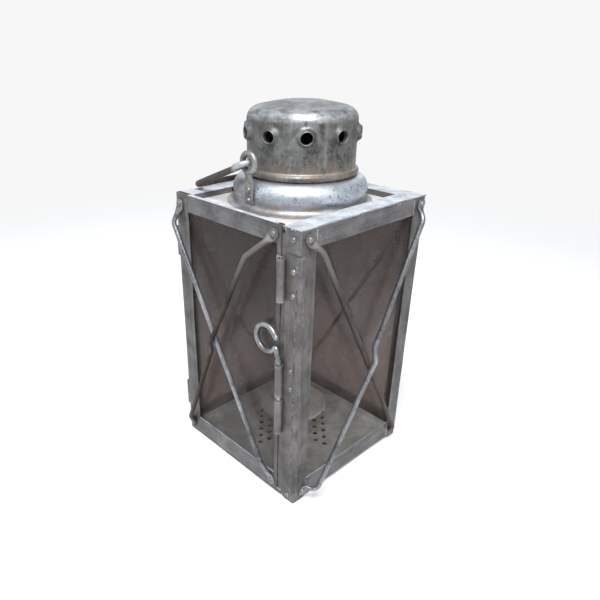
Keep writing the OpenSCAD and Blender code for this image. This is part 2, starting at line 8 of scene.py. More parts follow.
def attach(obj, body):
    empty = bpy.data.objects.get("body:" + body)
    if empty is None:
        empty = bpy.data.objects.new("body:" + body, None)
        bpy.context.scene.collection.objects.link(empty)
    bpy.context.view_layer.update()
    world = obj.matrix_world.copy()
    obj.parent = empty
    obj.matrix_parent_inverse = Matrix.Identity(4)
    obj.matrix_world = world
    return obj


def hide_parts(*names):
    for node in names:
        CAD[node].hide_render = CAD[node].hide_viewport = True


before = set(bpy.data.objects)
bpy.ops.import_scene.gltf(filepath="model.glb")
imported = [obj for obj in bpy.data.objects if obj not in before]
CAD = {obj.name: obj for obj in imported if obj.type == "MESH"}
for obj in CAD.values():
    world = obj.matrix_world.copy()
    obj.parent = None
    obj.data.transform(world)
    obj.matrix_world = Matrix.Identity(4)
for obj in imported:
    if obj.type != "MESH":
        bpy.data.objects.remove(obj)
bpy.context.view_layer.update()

MM = 0.001
HALF = 70.0     # half the body's width, mm
H = 232.5       # the body's height, mm
ROUND = 2.0     # a sweep's squareness for a round section
noise.seed_set(1)    # noise_vector is seeded by the clock otherwise, and every run would bend the sheet anew


# ---------------------------------------------------------------- materials

def add(nt, kind, props=None, **inputs):
    """A node with its properties and inputs set; an input that is a socket is linked."""
    node = nt.nodes.new(kind)
    for key, value in (props or {}).items():
        setattr(node, key, value)
    for key, value in inputs.items():
        socket = node.inputs[key.replace("_", " ")]
        if isinstance(value, bpy.types.NodeSocket):
            nt.links.new(value, socket)
        else:
            socket.default_value = value
    return node


def own(nt, kind="Object"):
    """The piece's own coordinates, which ride with it."""
    return add(nt, "ShaderNodeTexCoord").outputs[kind]


def coords(nt, scale=(1, 1, 1), turn=(0, 0, 0), shift=(0, 0, 0)):
    return add(nt, "ShaderNodeMapping", Vector=own(nt), Scale=scale, Rotation=turn, Location=shift).outputs[0]


def clouds(nt, at, scale, detail=4.0, rough=0.55, distort=0.0):
    node = add(nt, "ShaderNodeTexNoise", Vector=at, Scale=scale, Detail=detail, Roughness=rough,
               Distortion=distort)
    return node.outputs["Fac"]


def ramp(nt, fac, low, high):
    """Grey or colour ramp between two (position, value) pairs."""
    node = add(nt, "ShaderNodeValToRGB", Fac=fac)
    for element, (position, value) in zip(node.color_ramp.elements, (low, high)):
        element.position = position
        if isinstance(value, float):
            value = (value, value, value)
        element.color = (*value, 1.0)
    return node.outputs["Color"]


def mix(nt, fac, a, b):
    """Colour a where fac is 0 and colour b where it is 1."""
    node = add(nt, "ShaderNodeMix", {"data_type": "RGBA", "clamp_result": True})
    nt.links.new(fac, node.inputs[0])
    for index, value in ((6, a), (7, b)):
        if isinstance(value, bpy.types.NodeSocket):
            nt.links.new(value, node.inputs[index])
        else:
            node.inputs[index].default_value = (*value, 1.0)
    return node.outputs[2]


def calc(nt, op, a, b):
    """One sum, difference, product or maximum, clamped to 0 and 1."""
    node = add(nt, "ShaderNodeMath", {"operation": op, "use_clamp": True})
    for index, value in enumerate((a, b)):
        if isinstance(value, bpy.types.NodeSocket):
            nt.links.new(value, node.inputs[index])
        else:
            node.inputs[index].default_value = value
    return node.outputs[0]


def times(nt, product, *others):
    for other in others:
        product = calc(nt, "MULTIPLY", product, other)
    return product


def plus(nt, a, b):
    return calc(nt, "ADD", a, b)


def minus(nt, a, b):
    return calc(nt, "SUBTRACT", a, b)


def most(nt, a, b):
    return calc(nt, "MAXIMUM", a, b)


def remap(nt, value, low, high, start, end, kind="LINEAR"):
    """start at low and end at high, held beyond both."""
    node = add(nt, "ShaderNodeMapRange", {"interpolation_type": kind}, Value=value)
    for key, number in (("From Min", low), ("From Max", high), ("To Min", start), ("To Max", end)):
        node.inputs[key].default_value = number
    return node.outputs[0]


def blend_shaders(nt, fac, first, second, output):
    """Shows first where fac is 0 and second where it is 1."""
    blend = add(nt, "ShaderNodeMixShader", Fac=fac)
    nt.links.new(first.outputs[0], blend.inputs[1])
    nt.links.new(second.outputs[0], blend.inputs[2])
    nt.links.new(blend.outputs[0], output.inputs[0])


def radius_mask(nt, near, far):
    """1 inside radius near of the upright axis, 0 beyond far, in metres."""
    flat = add(nt, "ShaderNodeVectorMath", {"operation": "MULTIPLY"}, Vector=own(nt))
    flat.inputs[1].default_value = (1, 1, 0)
    size = add(nt, "ShaderNodeVectorMath", {"operation": "LENGTH"}, Vector=flat.outputs[0])
    return remap(nt, size.outputs["Value"], near, far, 1.0, 0.0, "SMOOTHSTEP")


def axis_mask(nt, axis, low, high):
    """0 below low and 1 above high along one object axis, in metres."""
    split = add(nt, "ShaderNodeSeparateXYZ", Vector=own(nt))
    return remap(nt, split.outputs[axis], low, high, 0.0, 1.0, "SMOOTHSTEP")


def above_body(nt, low, high):
    """0 below low and 1 above high, in millimetres over the body's top."""
    return axis_mask(nt, "Z", (H + low) * MM, (H + high) * MM)


def ring_mask(nt, a, b, c, d):
    """1 between b and c, fading out to a and d, in millimetres over the body's top."""
    return minus(nt, above_body(nt, a, b), above_body(nt, c, d))


def cover(nt, colour, over, amount, *masks):
    """colour with another one over it where all the masks are."""
    return mix(nt, times(nt, *masks, amount), colour, over)


def material(name):
    mat = bpy.data.materials.new(name)
    mat.use_nodes = True
    nt = mat.node_tree
    nt.nodes.clear()
    out = nt.nodes.new("ShaderNodeOutputMaterial")
    bsdf = nt.nodes.new("ShaderNodeBsdfPrincipled")
    nt.links.new(bsdf.outputs[0], out.inputs[0])
    return mat, nt, bsdf


def metal(name, dark, light, warm, metallic=0.75, rough=(0.42, 0.62), grain=(1, 1, 1), warm_amount=0.35,
          pits=0.5, scratches=0.5, edge=0.6, bump=0.25, seed=0.0, tint=None, stain=0.0, dust=0.0):
    """Worn zinc or steel: clouds, streaks along the grain, a warm film, stains, dark pits, scratches, rubbed
    edges and pale dusty tops."""
    mat, nt, bsdf = material(name)
    free = coords(nt, shift=(seed, seed * 0.7, -seed))
    along = coords(nt, scale=grain, shift=(seed, -seed, seed * 0.4))
    broad = clouds(nt, free, 38, 5, 0.6, 0.4)
    streak = clouds(nt, along, 420, 4, 0.65)
    tone = plus(nt, times(nt, broad, 0.65), times(nt, streak, 0.35))
    colour = ramp(nt, tone, (0.37, dark), (0.63, light))
    film = ramp(nt, clouds(nt, free, 21, 6, 0.68, 0.8), (0.5, 0.0), (0.72, 1.0))
    colour = cover(nt, colour, warm, warm_amount, film)
    if tint is not None:
        colour = tint(nt, colour)
    if stain:
        blot = clouds(nt, coords(nt, shift=(seed, 0.3, seed)), 30, 7, 0.72, 0.5)
        colour = cover(nt, colour, (0.045, 0.045, 0.055), stain, ramp(nt, blot, (0.54, 0.0), (0.68, 1.0)))
    if dust:
        up = add(nt, "ShaderNodeSeparateXYZ", Vector=own(nt, "Normal")).outputs["Z"]
        up = ramp(nt, up, (0.9, 0.0), (0.99, 1.0))
        thin = ramp(nt, clouds(nt, coords(nt), 90, 6, 0.7, 0.3), (0.36, 0.45), (0.6, 1.0))
        colour = cover(nt, colour, (0.66, 0.71, 0.77), dust, up, thin)
    pit = ramp(nt, clouds(nt, free, 560, 3, 0.7), (0.63, 0.0), (0.72, 1.0))
    patch = ramp(nt, clouds(nt, free, 70, 3, 0.6), (0.45, 0.0), (0.62, 1.0))
    pit = times(nt, pit, patch)
    colour = cover(nt, colour, tuple(0.25 * c for c in dark), pits, pit)
    line_a = clouds(nt, coords(nt, (60, 60, 900), (0.5, 0.9, 0.3), (seed, 0, 0)), 3.0, 2, 0.5)
    line_b = clouds(nt, coords(nt, (900, 70, 70), (0.2, 0.5, 1.1), (0, seed, 0)), 3.0, 2, 0.5)
    line = most(nt, ramp(nt, line_a, (0.66, 0.0), (0.7, 1.0)), ramp(nt, line_b, (0.67, 0.0), (0.71, 1.0)))
    line = times(nt, line, patch)
    colour = cover(nt, colour, tuple(min(1.0, 1.9 * c) for c in light), scratches, line)
    rub = ramp(nt, add(nt, "ShaderNodeNewGeometry").outputs["Pointiness"], (0.52, 0.0), (0.6, 1.0))
    ragged = ramp(nt, clouds(nt, free, 150, 4, 0.7), (0.38, 0.15), (0.62, 1.0))
    rub = times(nt, rub, ragged, edge)
    colour = mix(nt, rub, colour, tuple(min(1.0, 1.8 * c) for c in light))
    nt.links.new(colour, bsdf.inputs["Base Color"])
    bsdf.inputs["Metallic"].default_value = metallic
    dull = most(nt, remap(nt, tone, 0.3, 0.7, rough[1], rough[0]), times(nt, pit, 0.8))
    if dust:
        dull = most(nt, dull, times(nt, up, 0.85))
    nt.links.new(minus(nt, dull, times(nt, rub, 0.15)), bsdf.inputs["Roughness"])
    height = plus(nt, times(nt, clouds(nt, free, 260, 5, 0.6), 0.6), times(nt, streak, 0.25))
    height = minus(nt, height, times(nt, most(nt, pit, line), 0.35))
    b = add(nt, "ShaderNodeBump", Height=height, Strength=bump, Distance=0.0006)
    nt.links.new(b.outputs[0], bsdf.inputs["Normal"])
    return mat


def film_near_collar(nt, colour):
    """Tan dust on the roof, thickest against the collar."""
    patchy = ramp(nt, clouds(nt, coords(nt), 60, 4, 0.6), (0.3, 0.45), (0.65, 1.0))
    return cover(nt, colour, (0.42, 0.33, 0.26), 0.7, radius_mask(nt, 0.056, 0.074), patchy)


def collar_tint(nt, colour):
    """Tan film low in the cove, under the cap's bead and on the -X side, with dark pitting elsewhere."""
    low = minus(nt, 1.0, above_body(nt, -1.0, 5.5))
    high = above_body(nt, 15.4, 17.0)
    patchy = ramp(nt, clouds(nt, coords(nt), 70, 4, 0.6), (0.3, 0.4), (0.7, 1.0))
    film = times(nt, most(nt, low, high), patchy)
    west = minus(nt, 1.0, axis_mask(nt, "X", -0.024, 0.016))
    film = most(nt, film, times(nt, west, times(nt, patchy, 0.8)))
    colour = cover(nt, colour, (0.24, 0.195, 0.165), 0.9, film)
    blotch = ramp(nt, clouds(nt, coords(nt), 420, 8, 0.8, 1.2), (0.53, 0.0), (0.6, 1.0))
    where = ramp(nt, clouds(nt, coords(nt, shift=(0.12, 0.4, 0.2)), 60, 4, 0.6), (0.4, 0.0), (0.54, 1.0))
    return cover(nt, colour, (0.06, 0.07, 0.085), 0.85, blotch, where, ring_mask(nt, 1, 4, 13, 16))


def cap_tint(nt, colour):
    """Dark mottling, heavier on the +X side, a painted highlight on the shoulder, a tan line over the bead
    and painted shade inside.
    """
    mottle = ramp(nt, clouds(nt, coords(nt), 150, 8, 0.8, 0.2), (0.47, 0.0), (0.56, 1.0))
    place = ramp(nt, clouds(nt, coords(nt, shift=(0.31, 0.1, 0.0)), 24, 3, 0.5), (0.38, 0.3), (0.58, 1.0))
    east = ramp(nt, clouds(nt, coords(nt), 38, 3, 0.5), (0.36, 0.35), (0.56, 1.0))
    east = times(nt, axis_mask(nt, "X", 0.004, 0.03), east)
    side = most(nt, east, times(nt, place, 0.6))
    colour = cover(nt, colour, (0.04, 0.041, 0.035), 0.85, mottle, side)
    # painted highlight: a broken bluish-white band round the shoulder, standing in for the overhead light's
    # reflection
    broken_highlight = ramp(nt, clouds(nt, coords(nt, scale=(1, 1, 3)), 95, 5, 0.65), (0.4, 0.1), (0.6, 1.0))
    colour = cover(nt, colour, (0.5, 0.54, 0.58), 0.5, ring_mask(nt, 56, 61, 64.5, 67), broken_highlight)
    low = minus(nt, 1.0, above_body(nt, 22.5, 34))
    tan = ramp(nt, clouds(nt, coords(nt), 80, 4, 0.6), (0.35, 0.2), (0.7, 1.0))
    colour = cover(nt, colour, (0.3, 0.23, 0.18), 0.5, low, tan)
    colour = cover(nt, colour, (0.45, 0.34, 0.26), 0.6, ring_mask(nt, 21.6, 22.2, 22.8, 23.6), tan)
    # painted shade: the cap's inner wall below the crown is near-black, so the air holes look dark
    painted_shade_inside = minus(nt, radius_mask(nt, 0.04115, 0.04145), above_body(nt, 56.5, 58))
    return mix(nt, painted_shade_inside, colour, (0.012, 0.011, 0.01))


def seam_tint(nt, colour):
    """Dark and bright flecks along both ragged edges of the corner seam."""
    front = minus(nt, axis_mask(nt, "X", 0.065, 0.0656), axis_mask(nt, "X", 0.0668, 0.0676))
    edge = most(nt, front, axis_mask(nt, "Y", -0.0677, -0.067))
    dark = ramp(nt, clouds(nt, coords(nt, scale=(1, 1, 0.4)), 340, 4, 0.7), (0.48, 0.0), (0.53, 1.0))
    pale = clouds(nt, coords(nt, scale=(1, 1, 0.5), shift=(0.3, 0, 0)), 420, 3, 0.7)
    pale = ramp(nt, pale, (0.58, 0.0), (0.62, 1.0))
    colour = cover(nt, colour, (0.025, 0.024, 0.026), 0.9, edge, dark)
    return cover(nt, colour, (0.42, 0.42, 0.44), 0.45, edge, pale)


def wire_tint(nt, colour):
    """Dark guard wires are rubbed grey near their upper ends and in a few places lower down."""
    high = axis_mask(nt, "Z", 0.172, 0.208)
    bare = ramp(nt, clouds(nt, coords(nt, shift=(0.2, 0.5, 0.1)), 30, 4, 0.6), (0.42, 0.0), (0.62, 1.0))
    grey = most(nt, times(nt, high, 0.75), times(nt, bare, 0.2))
    return mix(nt, grey, colour, (0.155, 0.148, 0.146))


def bail_tint(nt, colour):
    """The loops at the pivot are rubbed bright."""
    return cover(nt, colour, (0.42, 0.44, 0.46), 0.9, axis_mask(nt, "X", -0.019, -0.012))


def floor_tint(nt, colour):
    """Yellow-brown stains round the dish and grey-green dull metal beyond."""
    patchy = ramp(nt, clouds(nt, coords(nt), 34, 5, 0.65, 0.6), (0.38, 0.0), (0.62, 1.0))
    return cover(nt, colour, (0.45, 0.38, 0.25), 0.4, radius_mask(nt, 0.02, 0.062), patchy)


TAN = (0.27, 0.225, 0.19)
RAIL = ((0.054, 0.053, 0.056), (0.168, 0.167, 0.173), TAN)
RAIL_WEAR = {"metallic": 0.35, "rough": (0.4, 0.6), "pits": 0.9, "scratches": 0.8, "edge": 0.3, "bump": 0.45,
             "dust": 0.75}
M_POST = metal("zinc_upright", (0.045, 0.042, 0.042), (0.148, 0.141, 0.142), TAN, metallic=0.35,
               rough=(0.46, 0.64), grain=(1, 1, 0.035), pits=0.9, scratches=0.8, edge=0.4, bump=0.45,
               stain=0.6, seed=1.3)
M_SEAM = metal("zinc_seam", (0.042, 0.039, 0.041), (0.155, 0.148, 0.152), TAN, metallic=0.35,
               grain=(1, 1, 0.2), pits=1.0, scratches=0.9, edge=1.0, bump=0.6, stain=0.6, dust=0.5, seed=16.3,
               tint=seam_tint)
M_RAIL_X = metal("zinc_rail_x", *RAIL, grain=(0.05, 1, 1), stain=0.7, seed=2.1, **RAIL_WEAR)
M_RAIL_Y = metal("zinc_rail_y", *RAIL, grain=(1, 0.05, 1), stain=0.65, seed=3.7, **RAIL_WEAR)
M_ROOF = metal("zinc_roof", (0.5, 0.51, 0.53), (0.74, 0.75, 0.77), (0.52, 0.45, 0.39), metallic=0.15,
               rough=(0.65, 0.85), seed=4.4, tint=film_near_collar)
M_COLLAR = metal("zinc_collar", (0.38, 0.42, 0.47), (0.66, 0.71, 0.78), (0.45, 0.37, 0.31), metallic=0.85,
                 rough=(0.32, 0.58), grain=(1, 1, 0.3), warm_amount=0.2, pits=1.0, scratches=0.3, edge=0.2,
                 bump=0.45, stain=0.35, seed=5.2, tint=collar_tint)
M_CAP = metal("zinc_cap", (0.085, 0.086, 0.083), (0.225, 0.229, 0.228), (0.16, 0.145, 0.12), metallic=0.6,
              rough=(0.38, 0.56), grain=(1, 1, 0.2), pits=0.9, scratches=0.25, edge=0.3, bump=0.3, seed=6.6,
              tint=cap_tint)
M_DARK = metal("dark_wire", (0.016, 0.011, 0.008), (0.055, 0.04, 0.032), (0.09, 0.05, 0.03), metallic=0.3,
               warm_amount=0.4, pits=0.6, scratches=0.8, edge=0.08, bump=0.5, seed=7.9, tint=wire_tint)
M_BRIGHT = metal("bright_wire", (0.075, 0.078, 0.085), (0.4, 0.415, 0.44), (0.24, 0.2, 0.17), metallic=0.85,
                 rough=(0.32, 0.5), warm_amount=0.3, pits=0.9, scratches=0.4, edge=0.25, bump=0.6, seed=8.3)
M_BAIL = metal("bail_wire", (0.035, 0.028, 0.024), (0.115, 0.098, 0.088), (0.14, 0.09, 0.062), metallic=0.6,
               rough=(0.4, 0.6), warm_amount=0.4, pits=0.6, edge=0.15, bump=0.4, seed=9.1, tint=bail_tint)
M_EAR = metal("ear_metal", (0.12, 0.12, 0.118), (0.34, 0.34, 0.33), (0.33, 0.27, 0.21), metallic=0.7,
              rough=(0.35, 0.55), warm_amount=0.45, pits=0.7, bump=0.4, seed=10.5)
M_RIVET = metal("rivet_metal", (0.1, 0.098, 0.095), (0.3, 0.295, 0.285), (0.24, 0.2, 0.16), metallic=0.65,
                rough=(0.34, 0.5), warm_amount=0.3, pits=0.7, edge=0.2, bump=0.35, seed=11.8)
M_TUBE = metal("tube_zinc", (0.06, 0.057, 0.058), (0.185, 0.18, 0.184), TAN, metallic=0.4, grain=(1, 1, 0.05),
               pits=0.8, edge=0.9, stain=0.4, seed=12.4)
M_FLOOR = metal("floor_metal", (0.52, 0.56, 0.53), (0.82, 0.86, 0.81), (0.4, 0.36, 0.26), metallic=0.45,
                rough=(0.55, 0.75), warm_amount=0.6, pits=0.7, scratches=0.6, seed=13.6, tint=floor_tint)
M_DISH = metal("dish_metal", (0.72, 0.72, 0.68), (0.95, 0.94, 0.9), (0.5, 0.42, 0.3), metallic=0.25,
               rough=(0.45, 0.65), warm_amount=0.5, pits=0.7, edge=0.8, seed=14.2)
M_SOLDER = metal("solder", (0.3, 0.31, 0.33), (0.62, 0.63, 0.66), (0.34, 0.3, 0.27), metallic=0.85,
                 rough=(0.28, 0.5), warm_amount=0.2, pits=0.8, bump=0.6, seed=15.9)
for wire in (M_DARK, M_BAIL):
    wire.node_tree.nodes["Principled BSDF"].inputs["Specular IOR Level"].default_value = 0.25


def smoked(name, film, low, high, seed, lit_through, glow):
    """Old glass with a brown film: thick smoke above and thinner below, with drips, wiped streaks and a few
    specks. low and high are the film's least and greatest cover near the floor and near the roof."""
    mat, nt, bsdf = material(name)
    broad = clouds(nt, coords(nt, shift=(seed, seed, seed)), 14, 5, 0.6, 0.9)
    drip = clouds(nt, coords(nt, scale=(1, 1, 0.16), shift=(seed, 0, 0)), 60, 3, 0.5, 0.3)
    wipe = clouds(nt, coords(nt, (1, 1, 5), (0.7, 0.4, 0.2), (0, seed, 0)), 30, 3, 0.5)
    smoke = plus(nt, times(nt, broad, 0.6), plus(nt, times(nt, drip, 0.25), times(nt, wipe, 0.15)))
    rise = plus(nt, times(nt, axis_mask(nt, "Z", 0.07, 0.21), 0.75), times(nt, broad, 0.25))
    speck = clouds(nt, coords(nt, scale=(1, 1, 0.5), shift=(seed, 0, seed)), 420, 1, 0.4)
    speck = ramp(nt, speck, (0.76, 0.0), (0.79, 1.0))

    def uneven(base):
        return ramp(nt, smoke, (0.36, tuple(0.7 * c for c in base)), (0.64, tuple(1.4 * c for c in base)))

    nt.links.new(cover(nt, uneven(film), (0.3, 0.27, 0.23), 0.7, speck), bsdf.inputs["Base Color"])
    top = remap(nt, smoke, 0.36, 0.64, *high)
    below = remap(nt, smoke, 0.36, 0.64, *low)
    alpha = plus(nt, below, times(nt, minus(nt, top, below), rise))
    nt.links.new(most(nt, alpha, times(nt, speck, 0.8)), bsdf.inputs["Alpha"])
    nt.links.new(ramp(nt, smoke, (0.3, 0.16), (0.7, 0.38)), bsdf.inputs["Roughness"])
    b = add(nt, "ShaderNodeBump", Height=broad, Strength=0.05, Distance=0.001)
    nt.links.new(b.outputs[0], bsdf.inputs["Normal"])
    bsdf.inputs["IOR"].default_value = 1.5
    bsdf.inputs["Specular IOR Level"].default_value = 0.3
    haze = add(nt, "ShaderNodeBsdfTranslucent", Color=uneven(glow))
    blend_shaders(nt, lit_through, bsdf, haze, nt.nodes["Material Output"])
    return mat


M_GLASS_FRONT = smoked("smoked_glass_door", (0.018, 0.013, 0.012), (0.18, 0.48), (0.56, 0.88), 1.7, 0.06,
                       (0.28, 0.2, 0.17))
M_GLASS_RIGHT = smoked("smoked_glass_right", (0.024, 0.017, 0.015), (0.03, 0.24), (0.48, 0.82), 4.9, 0.07,
                       (0.3, 0.21, 0.18))
M_GLASS_REAR = smoked("smoked_glass_rear", (0.08, 0.057, 0.048), (0.34, 0.64), (0.46, 0.78), 8.2, 0.32,
                      (0.48, 0.32, 0.26))


# ---------------------------------------------------------------- mesh code

def new_object(name, mesh):
    obj = bpy.data.objects.new(name, mesh)
    bpy.context.scene.collection.objects.link(obj)
    return obj


def to_mesh(bm, name):
    mesh = bpy.data.meshes.new(name)
    bm.to_mesh(mesh)
    bm.free()
    return mesh


def finish_mesh(bm, name, mat, body, nodes=(), sharp=38.0):
    """Turns a bmesh in millimetres into a piece that rides on its body."""
    bmesh.ops.scale(bm, vec=(MM, MM, MM), verts=bm.verts)
    bmesh.ops.recalc_face_normals(bm, faces=bm.faces)
    for f in bm.faces:
        f.smooth = True
    limit = math.radians(sharp)
    for e in bm.edges:
        e.smooth = len(e.link_faces) != 2 or e.calc_face_angle(0.0) < limit
    mesh = to_mesh(bm, name)
    mesh.materials.append(mat)
    obj = new_object(name, mesh)
    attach(obj, body)
    if nodes:
        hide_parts(*nodes)
    return obj


def hand_made(co, amount=0.16):
    """Slow unevenness of hand-folded sheet, in mm. Only the place counts, so neighbours stay together."""
    a = noise.noise_vector(co * 0.031)
    b = noise.noise_vector(co * 0.09 + Vector((7.1, 3.3, 5.7)))
    return co + amount * a + 0.35 * amount * b


def skin(bm, rings, closed_path=False):
    """Quads between successive rings of vertices; where a ring is one point they are triangles."""
    count = len(rings)
    for i in range(count if closed_path else count - 1):
        a, b = rings[i], rings[(i + 1) % count]
        for j in range(len(a)):
            k = (j + 1) % len(a)
            corners = list(dict.fromkeys((a[j], a[k], b[k], b[j])))
            if len(corners) >= 3:
                bm.faces.new(corners)


def lathe(bm, profile, segs=160, closed=True, warp=0.0, turn=None):
    """Turns a profile of (radius, height) round the upright axis; radius 0 makes one pole."""
    rings = []
    for r, z in profile:
        if r < 1e-6:
            pole = bm.verts.new((0, 0, z))
            rings.append([pole] * segs)
            continue
        ring = []
        for i in range(segs):
            t = 2 * math.pi * i / segs
            co = Vector((r * math.cos(t), r * math.sin(t), z))
            if warp:
                co = hand_made(co, warp)
            ring.append(bm.verts.new(co))
        rings.append(ring)
    skin(bm, rings, closed_path=closed)
    if turn is not None:
        bmesh.ops.transform(bm, matrix=turn, verts=list({v for ring in rings for v in ring}))


def arc(x, z, r, a0, a1, steps):
    """Points round (x, z) from angle a0 to a1, in degrees."""
    turns = [math.radians(a0 + (a1 - a0) * i / steps) for i in range(steps + 1)]
    return [(x + r * math.cos(t), z + r * math.sin(t)) for t in turns]


def rounded(points, radii, step=0.7):
    """Polyline with each inner corner rounded by its radius, sampled about every step millimetres."""
    pts = [Vector(p) for p in points]
    out = [pts[0]]
    for i in range(1, len(pts) - 1):
        a, b, c = pts[i - 1], pts[i], pts[i + 1]
        u, v = (a - b), (c - b)
        lu, lv = u.length, v.length
        u, v = u.normalized(), v.normalized()
        turn = math.pi - u.angle(v)
        cut = min(radii[i] * math.tan(turn / 2), 0.48 * lu, 0.48 * lv)
        p, q = b + u * cut, b + v * cut
        n = max(3, int((p - q).length / step) + 2)
        for k in range(n + 1):
            t = k / n
            out.append(p * (1 - t) ** 2 + b * 2 * t * (1 - t) + q * t * t)
    out.append(pts[-1])
    dense = [out[0]]
    for a, b in zip(out, out[1:]):
        n = max(1, int((b - a).length / (step * 2.2)))
        for k in range(1, n + 1):
            dense.append(a.lerp(b, k / n))
    clean = [dense[0]]
    for p in dense[1:]:
        if (p - clean[-1]).length > 0.02:
            clean.append(p)
    return clean


def sweep(bm, path, size, up=None, segs=20, closed=False):
    """Tube along a path. size(i, s, total) gives half width, half thickness and squareness at point i, which
    lies s along a path of length total. up, where given, is the direction of the thickness."""
    n = len(path)
    dist = [0.0]
    for a, b in zip(path, path[1:]):
        dist.append(dist[-1] + (b - a).length)
    rings = []
    side = None
    for i, p in enumerate(path):
        before = path[i - 1] if (i > 0 or closed) else path[i]
        after = path[(i + 1) % n] if (i < n - 1 or closed) else path[i]
        tangent = (after - before).normalized()
        if up is not None:
            thick = (up - tangent * up.dot(tangent)).normalized()
            wide = tangent.cross(thick)
        else:
            if side is None:
                side = tangent.orthogonal().normalized()
            side = (side - tangent * side.dot(tangent)).normalized()
            wide, thick = side, tangent.cross(side)
        w, t, square = size(i, dist[i], dist[-1])
        ring = []
        for k in range(segs):
            a = 2 * math.pi * k / segs
            c, s = math.cos(a), math.sin(a)
            e = 2.0 / square
            x = math.copysign(abs(c) ** e, c) * w
            y = math.copysign(abs(s) ** e, s) * t
            ring.append(bm.verts.new(p + wide * x + thick * y))
        rings.append(ring)
    skin(bm, rings, closed_path=closed)
    if not closed:
        for ring, end in ((rings[0], path[0]), (rings[-1], path[-1])):
            tip = bm.verts.new(end)
            for j in range(segs):
                bm.faces.new((ring[j], ring[(j + 1) % segs], tip))


def round_end(s, total, r):
    """Radius that closes a round wire with a half-ball at its ends."""
    d = min(s, total - s)
    return r * math.sqrt(max(0.0004, 1 - (1 - d / r) ** 2)) if d < r else r


def stack(bm, outlines):
    """Uneven solid through outlines of points, closed at both ends."""
    rings = [[bm.verts.new(hand_made(Vector(p))) for p in outline] for outline in outlines]
    skin(bm, rings)
    bm.faces.new(rings[0])
    bm.faces.new(rings[-1])


def prism(bm, outline, z0, z1, cuts=12):
    """Upright extrusion of an outline, in slices so that it can be uneven."""
    heights = [z0 + (z1 - z0) * i / cuts for i in range(cuts + 1)]
    stack(bm, [[(x, y, z) for x, y in outline] for z in heights])


def soften(bm, width, angle=32.0):
    """Rounds every edge sharper than angle, in degrees."""
    edges = [e for e in bm.edges if len(e.link_faces) == 2 and e.calc_face_angle(0.0) > math.radians(angle)]
    if edges:
        bmesh.ops.bevel(bm, geom=edges, offset=width, segments=2, profile=0.6, affect="EDGES",
                        clamp_overlap=True)


def worn(node, body, mat, slot, bevel=0.22, amount=0.16, cell=11.0):
    """A CAD node's shape with softened edges, cut into cells that can take the sheet's unevenness."""
    bm = bmesh.new()
    bm.from_mesh(CAD[node].data)
    bmesh.ops.scale(bm, vec=(1 / MM, 1 / MM, 1 / MM), verts=bm.verts)
    bmesh.ops.remove_doubles(bm, verts=bm.verts, dist=0.002)
    bmesh.ops.dissolve_limit(bm, angle_limit=math.radians(0.6), verts=bm.verts, edges=bm.edges)
    soften(bm, bevel)
    bmesh.ops.triangulate(bm, faces=bm.faces)
    for _ in range(6):
        long_edges = [e for e in bm.edges if e.calc_length() > cell]
        if not long_edges:
            break
        bmesh.ops.subdivide_edges(bm, edges=long_edges, cuts=1, use_grid_fill=False)
        bmesh.ops.triangulate(bm, faces=bm.faces)
    for v in bm.verts:
        v.co = hand_made(v.co, amount)
        v.co.z = max(v.co.z, 0.0)
    obj = finish_mesh(bm, node + "_v", mat, body, (node,))
    flat = obj.modifiers.new("flat faces", "WEIGHTED_NORMAL")
    flat.keep_sharp = True
    flat.weight = 90


FRONT, RIGHT, BACK, LEFT = range(4)
FACE_OUT = [Vector((0, -1, 0)), Vector((1, 0, 0)), Vector((0, 1, 0)), Vector((-1, 0, 0))]
FACE_ACROSS = [Vector((1, 0, 0)), Vector((0, 1, 0)), Vector((-1, 0, 0)), Vector((0, -1, 0))]


def on_face(k, u, v, w):
    """A point on side k: u across, v up, w outward from the face."""
    return FACE_OUT[k] * (HALF + w) + FACE_ACROSS[k] * u + Vector((0, 0, v))


# ---------------------------------------------------------------- sheet parts

# The hinges keep the CAD's exact shape, so that leaves and pins never meet; the panes bend only a little
HINGE = {"bevel": 0.12, "amount": 0.0}
PANE = {"bevel": 0.12, "amount": 0.08, "cell": 25}
SHEETS = (
    ("frame", M_POST, "frame_zinc", {}, ("post_latch", "post_hinge", "post_back_right", "post_back_left",
                                         "door_stop")),
    ("frame", M_RAIL_X, "frame_zinc", {}, ("rail_top_back", "rail_bottom_back", "front_sill")),
    ("frame", M_RAIL_Y, "frame_zinc", {}, ("rail_top_right", "rail_top_left", "rail_bottom_right",
                                           "rail_bottom_left")),
    ("frame", M_ROOF, "roof_zinc", {"amount": 0.3, "cell": 9}, ("roof_plate",)),
    ("frame", M_FLOOR, "floor_metal", {"bevel": 0.15, "amount": 0.2, "cell": 12}, ("floor_plate",)),
    ("frame", M_POST, "hinge_metal", HINGE, ("hinge_leaves_frame",)),
    ("frame", M_DARK, "hinge_pin_metal", HINGE, ("hinge_pins",)),
    ("door", M_POST, "frame_zinc", {}, ("door_stile_hinge", "door_stile_latch")),
    ("door", M_RAIL_X, "frame_zinc", {}, ("door_rail_top", "door_rail_bottom")),
    ("door", M_POST, "hinge_metal", HINGE, ("hinge_leaves_door",)),
    ("door", M_GLASS_FRONT, "smoked_glass", PANE, ("door_pane",)),
    ("frame", M_GLASS_RIGHT, "smoked_glass", PANE, ("pane_right",)),
    ("frame", M_GLASS_REAR, "smoked_glass", PANE, ("pane_back", "pane_left")),
)
for body, mat, slot, how, names in SHEETS:
    for node in names:
        worn(node, body, mat, slot, **how)


# Raised, ragged seam strip that wraps the latch corner
SEAM_LOW, SEAM_HIGH, SEAM_ROWS = 9.0, H - 18.5, 90
BEND_R = 1.8             # the corner's fold
BEND = HALF - BEND_R     # its centre, from the body's axis
SUNK = HALF - 0.1        # the strip's edges go into the sheet


def ripple(z, rate, lane):
    return noise.noise(Vector((z * rate, lane, 0)))


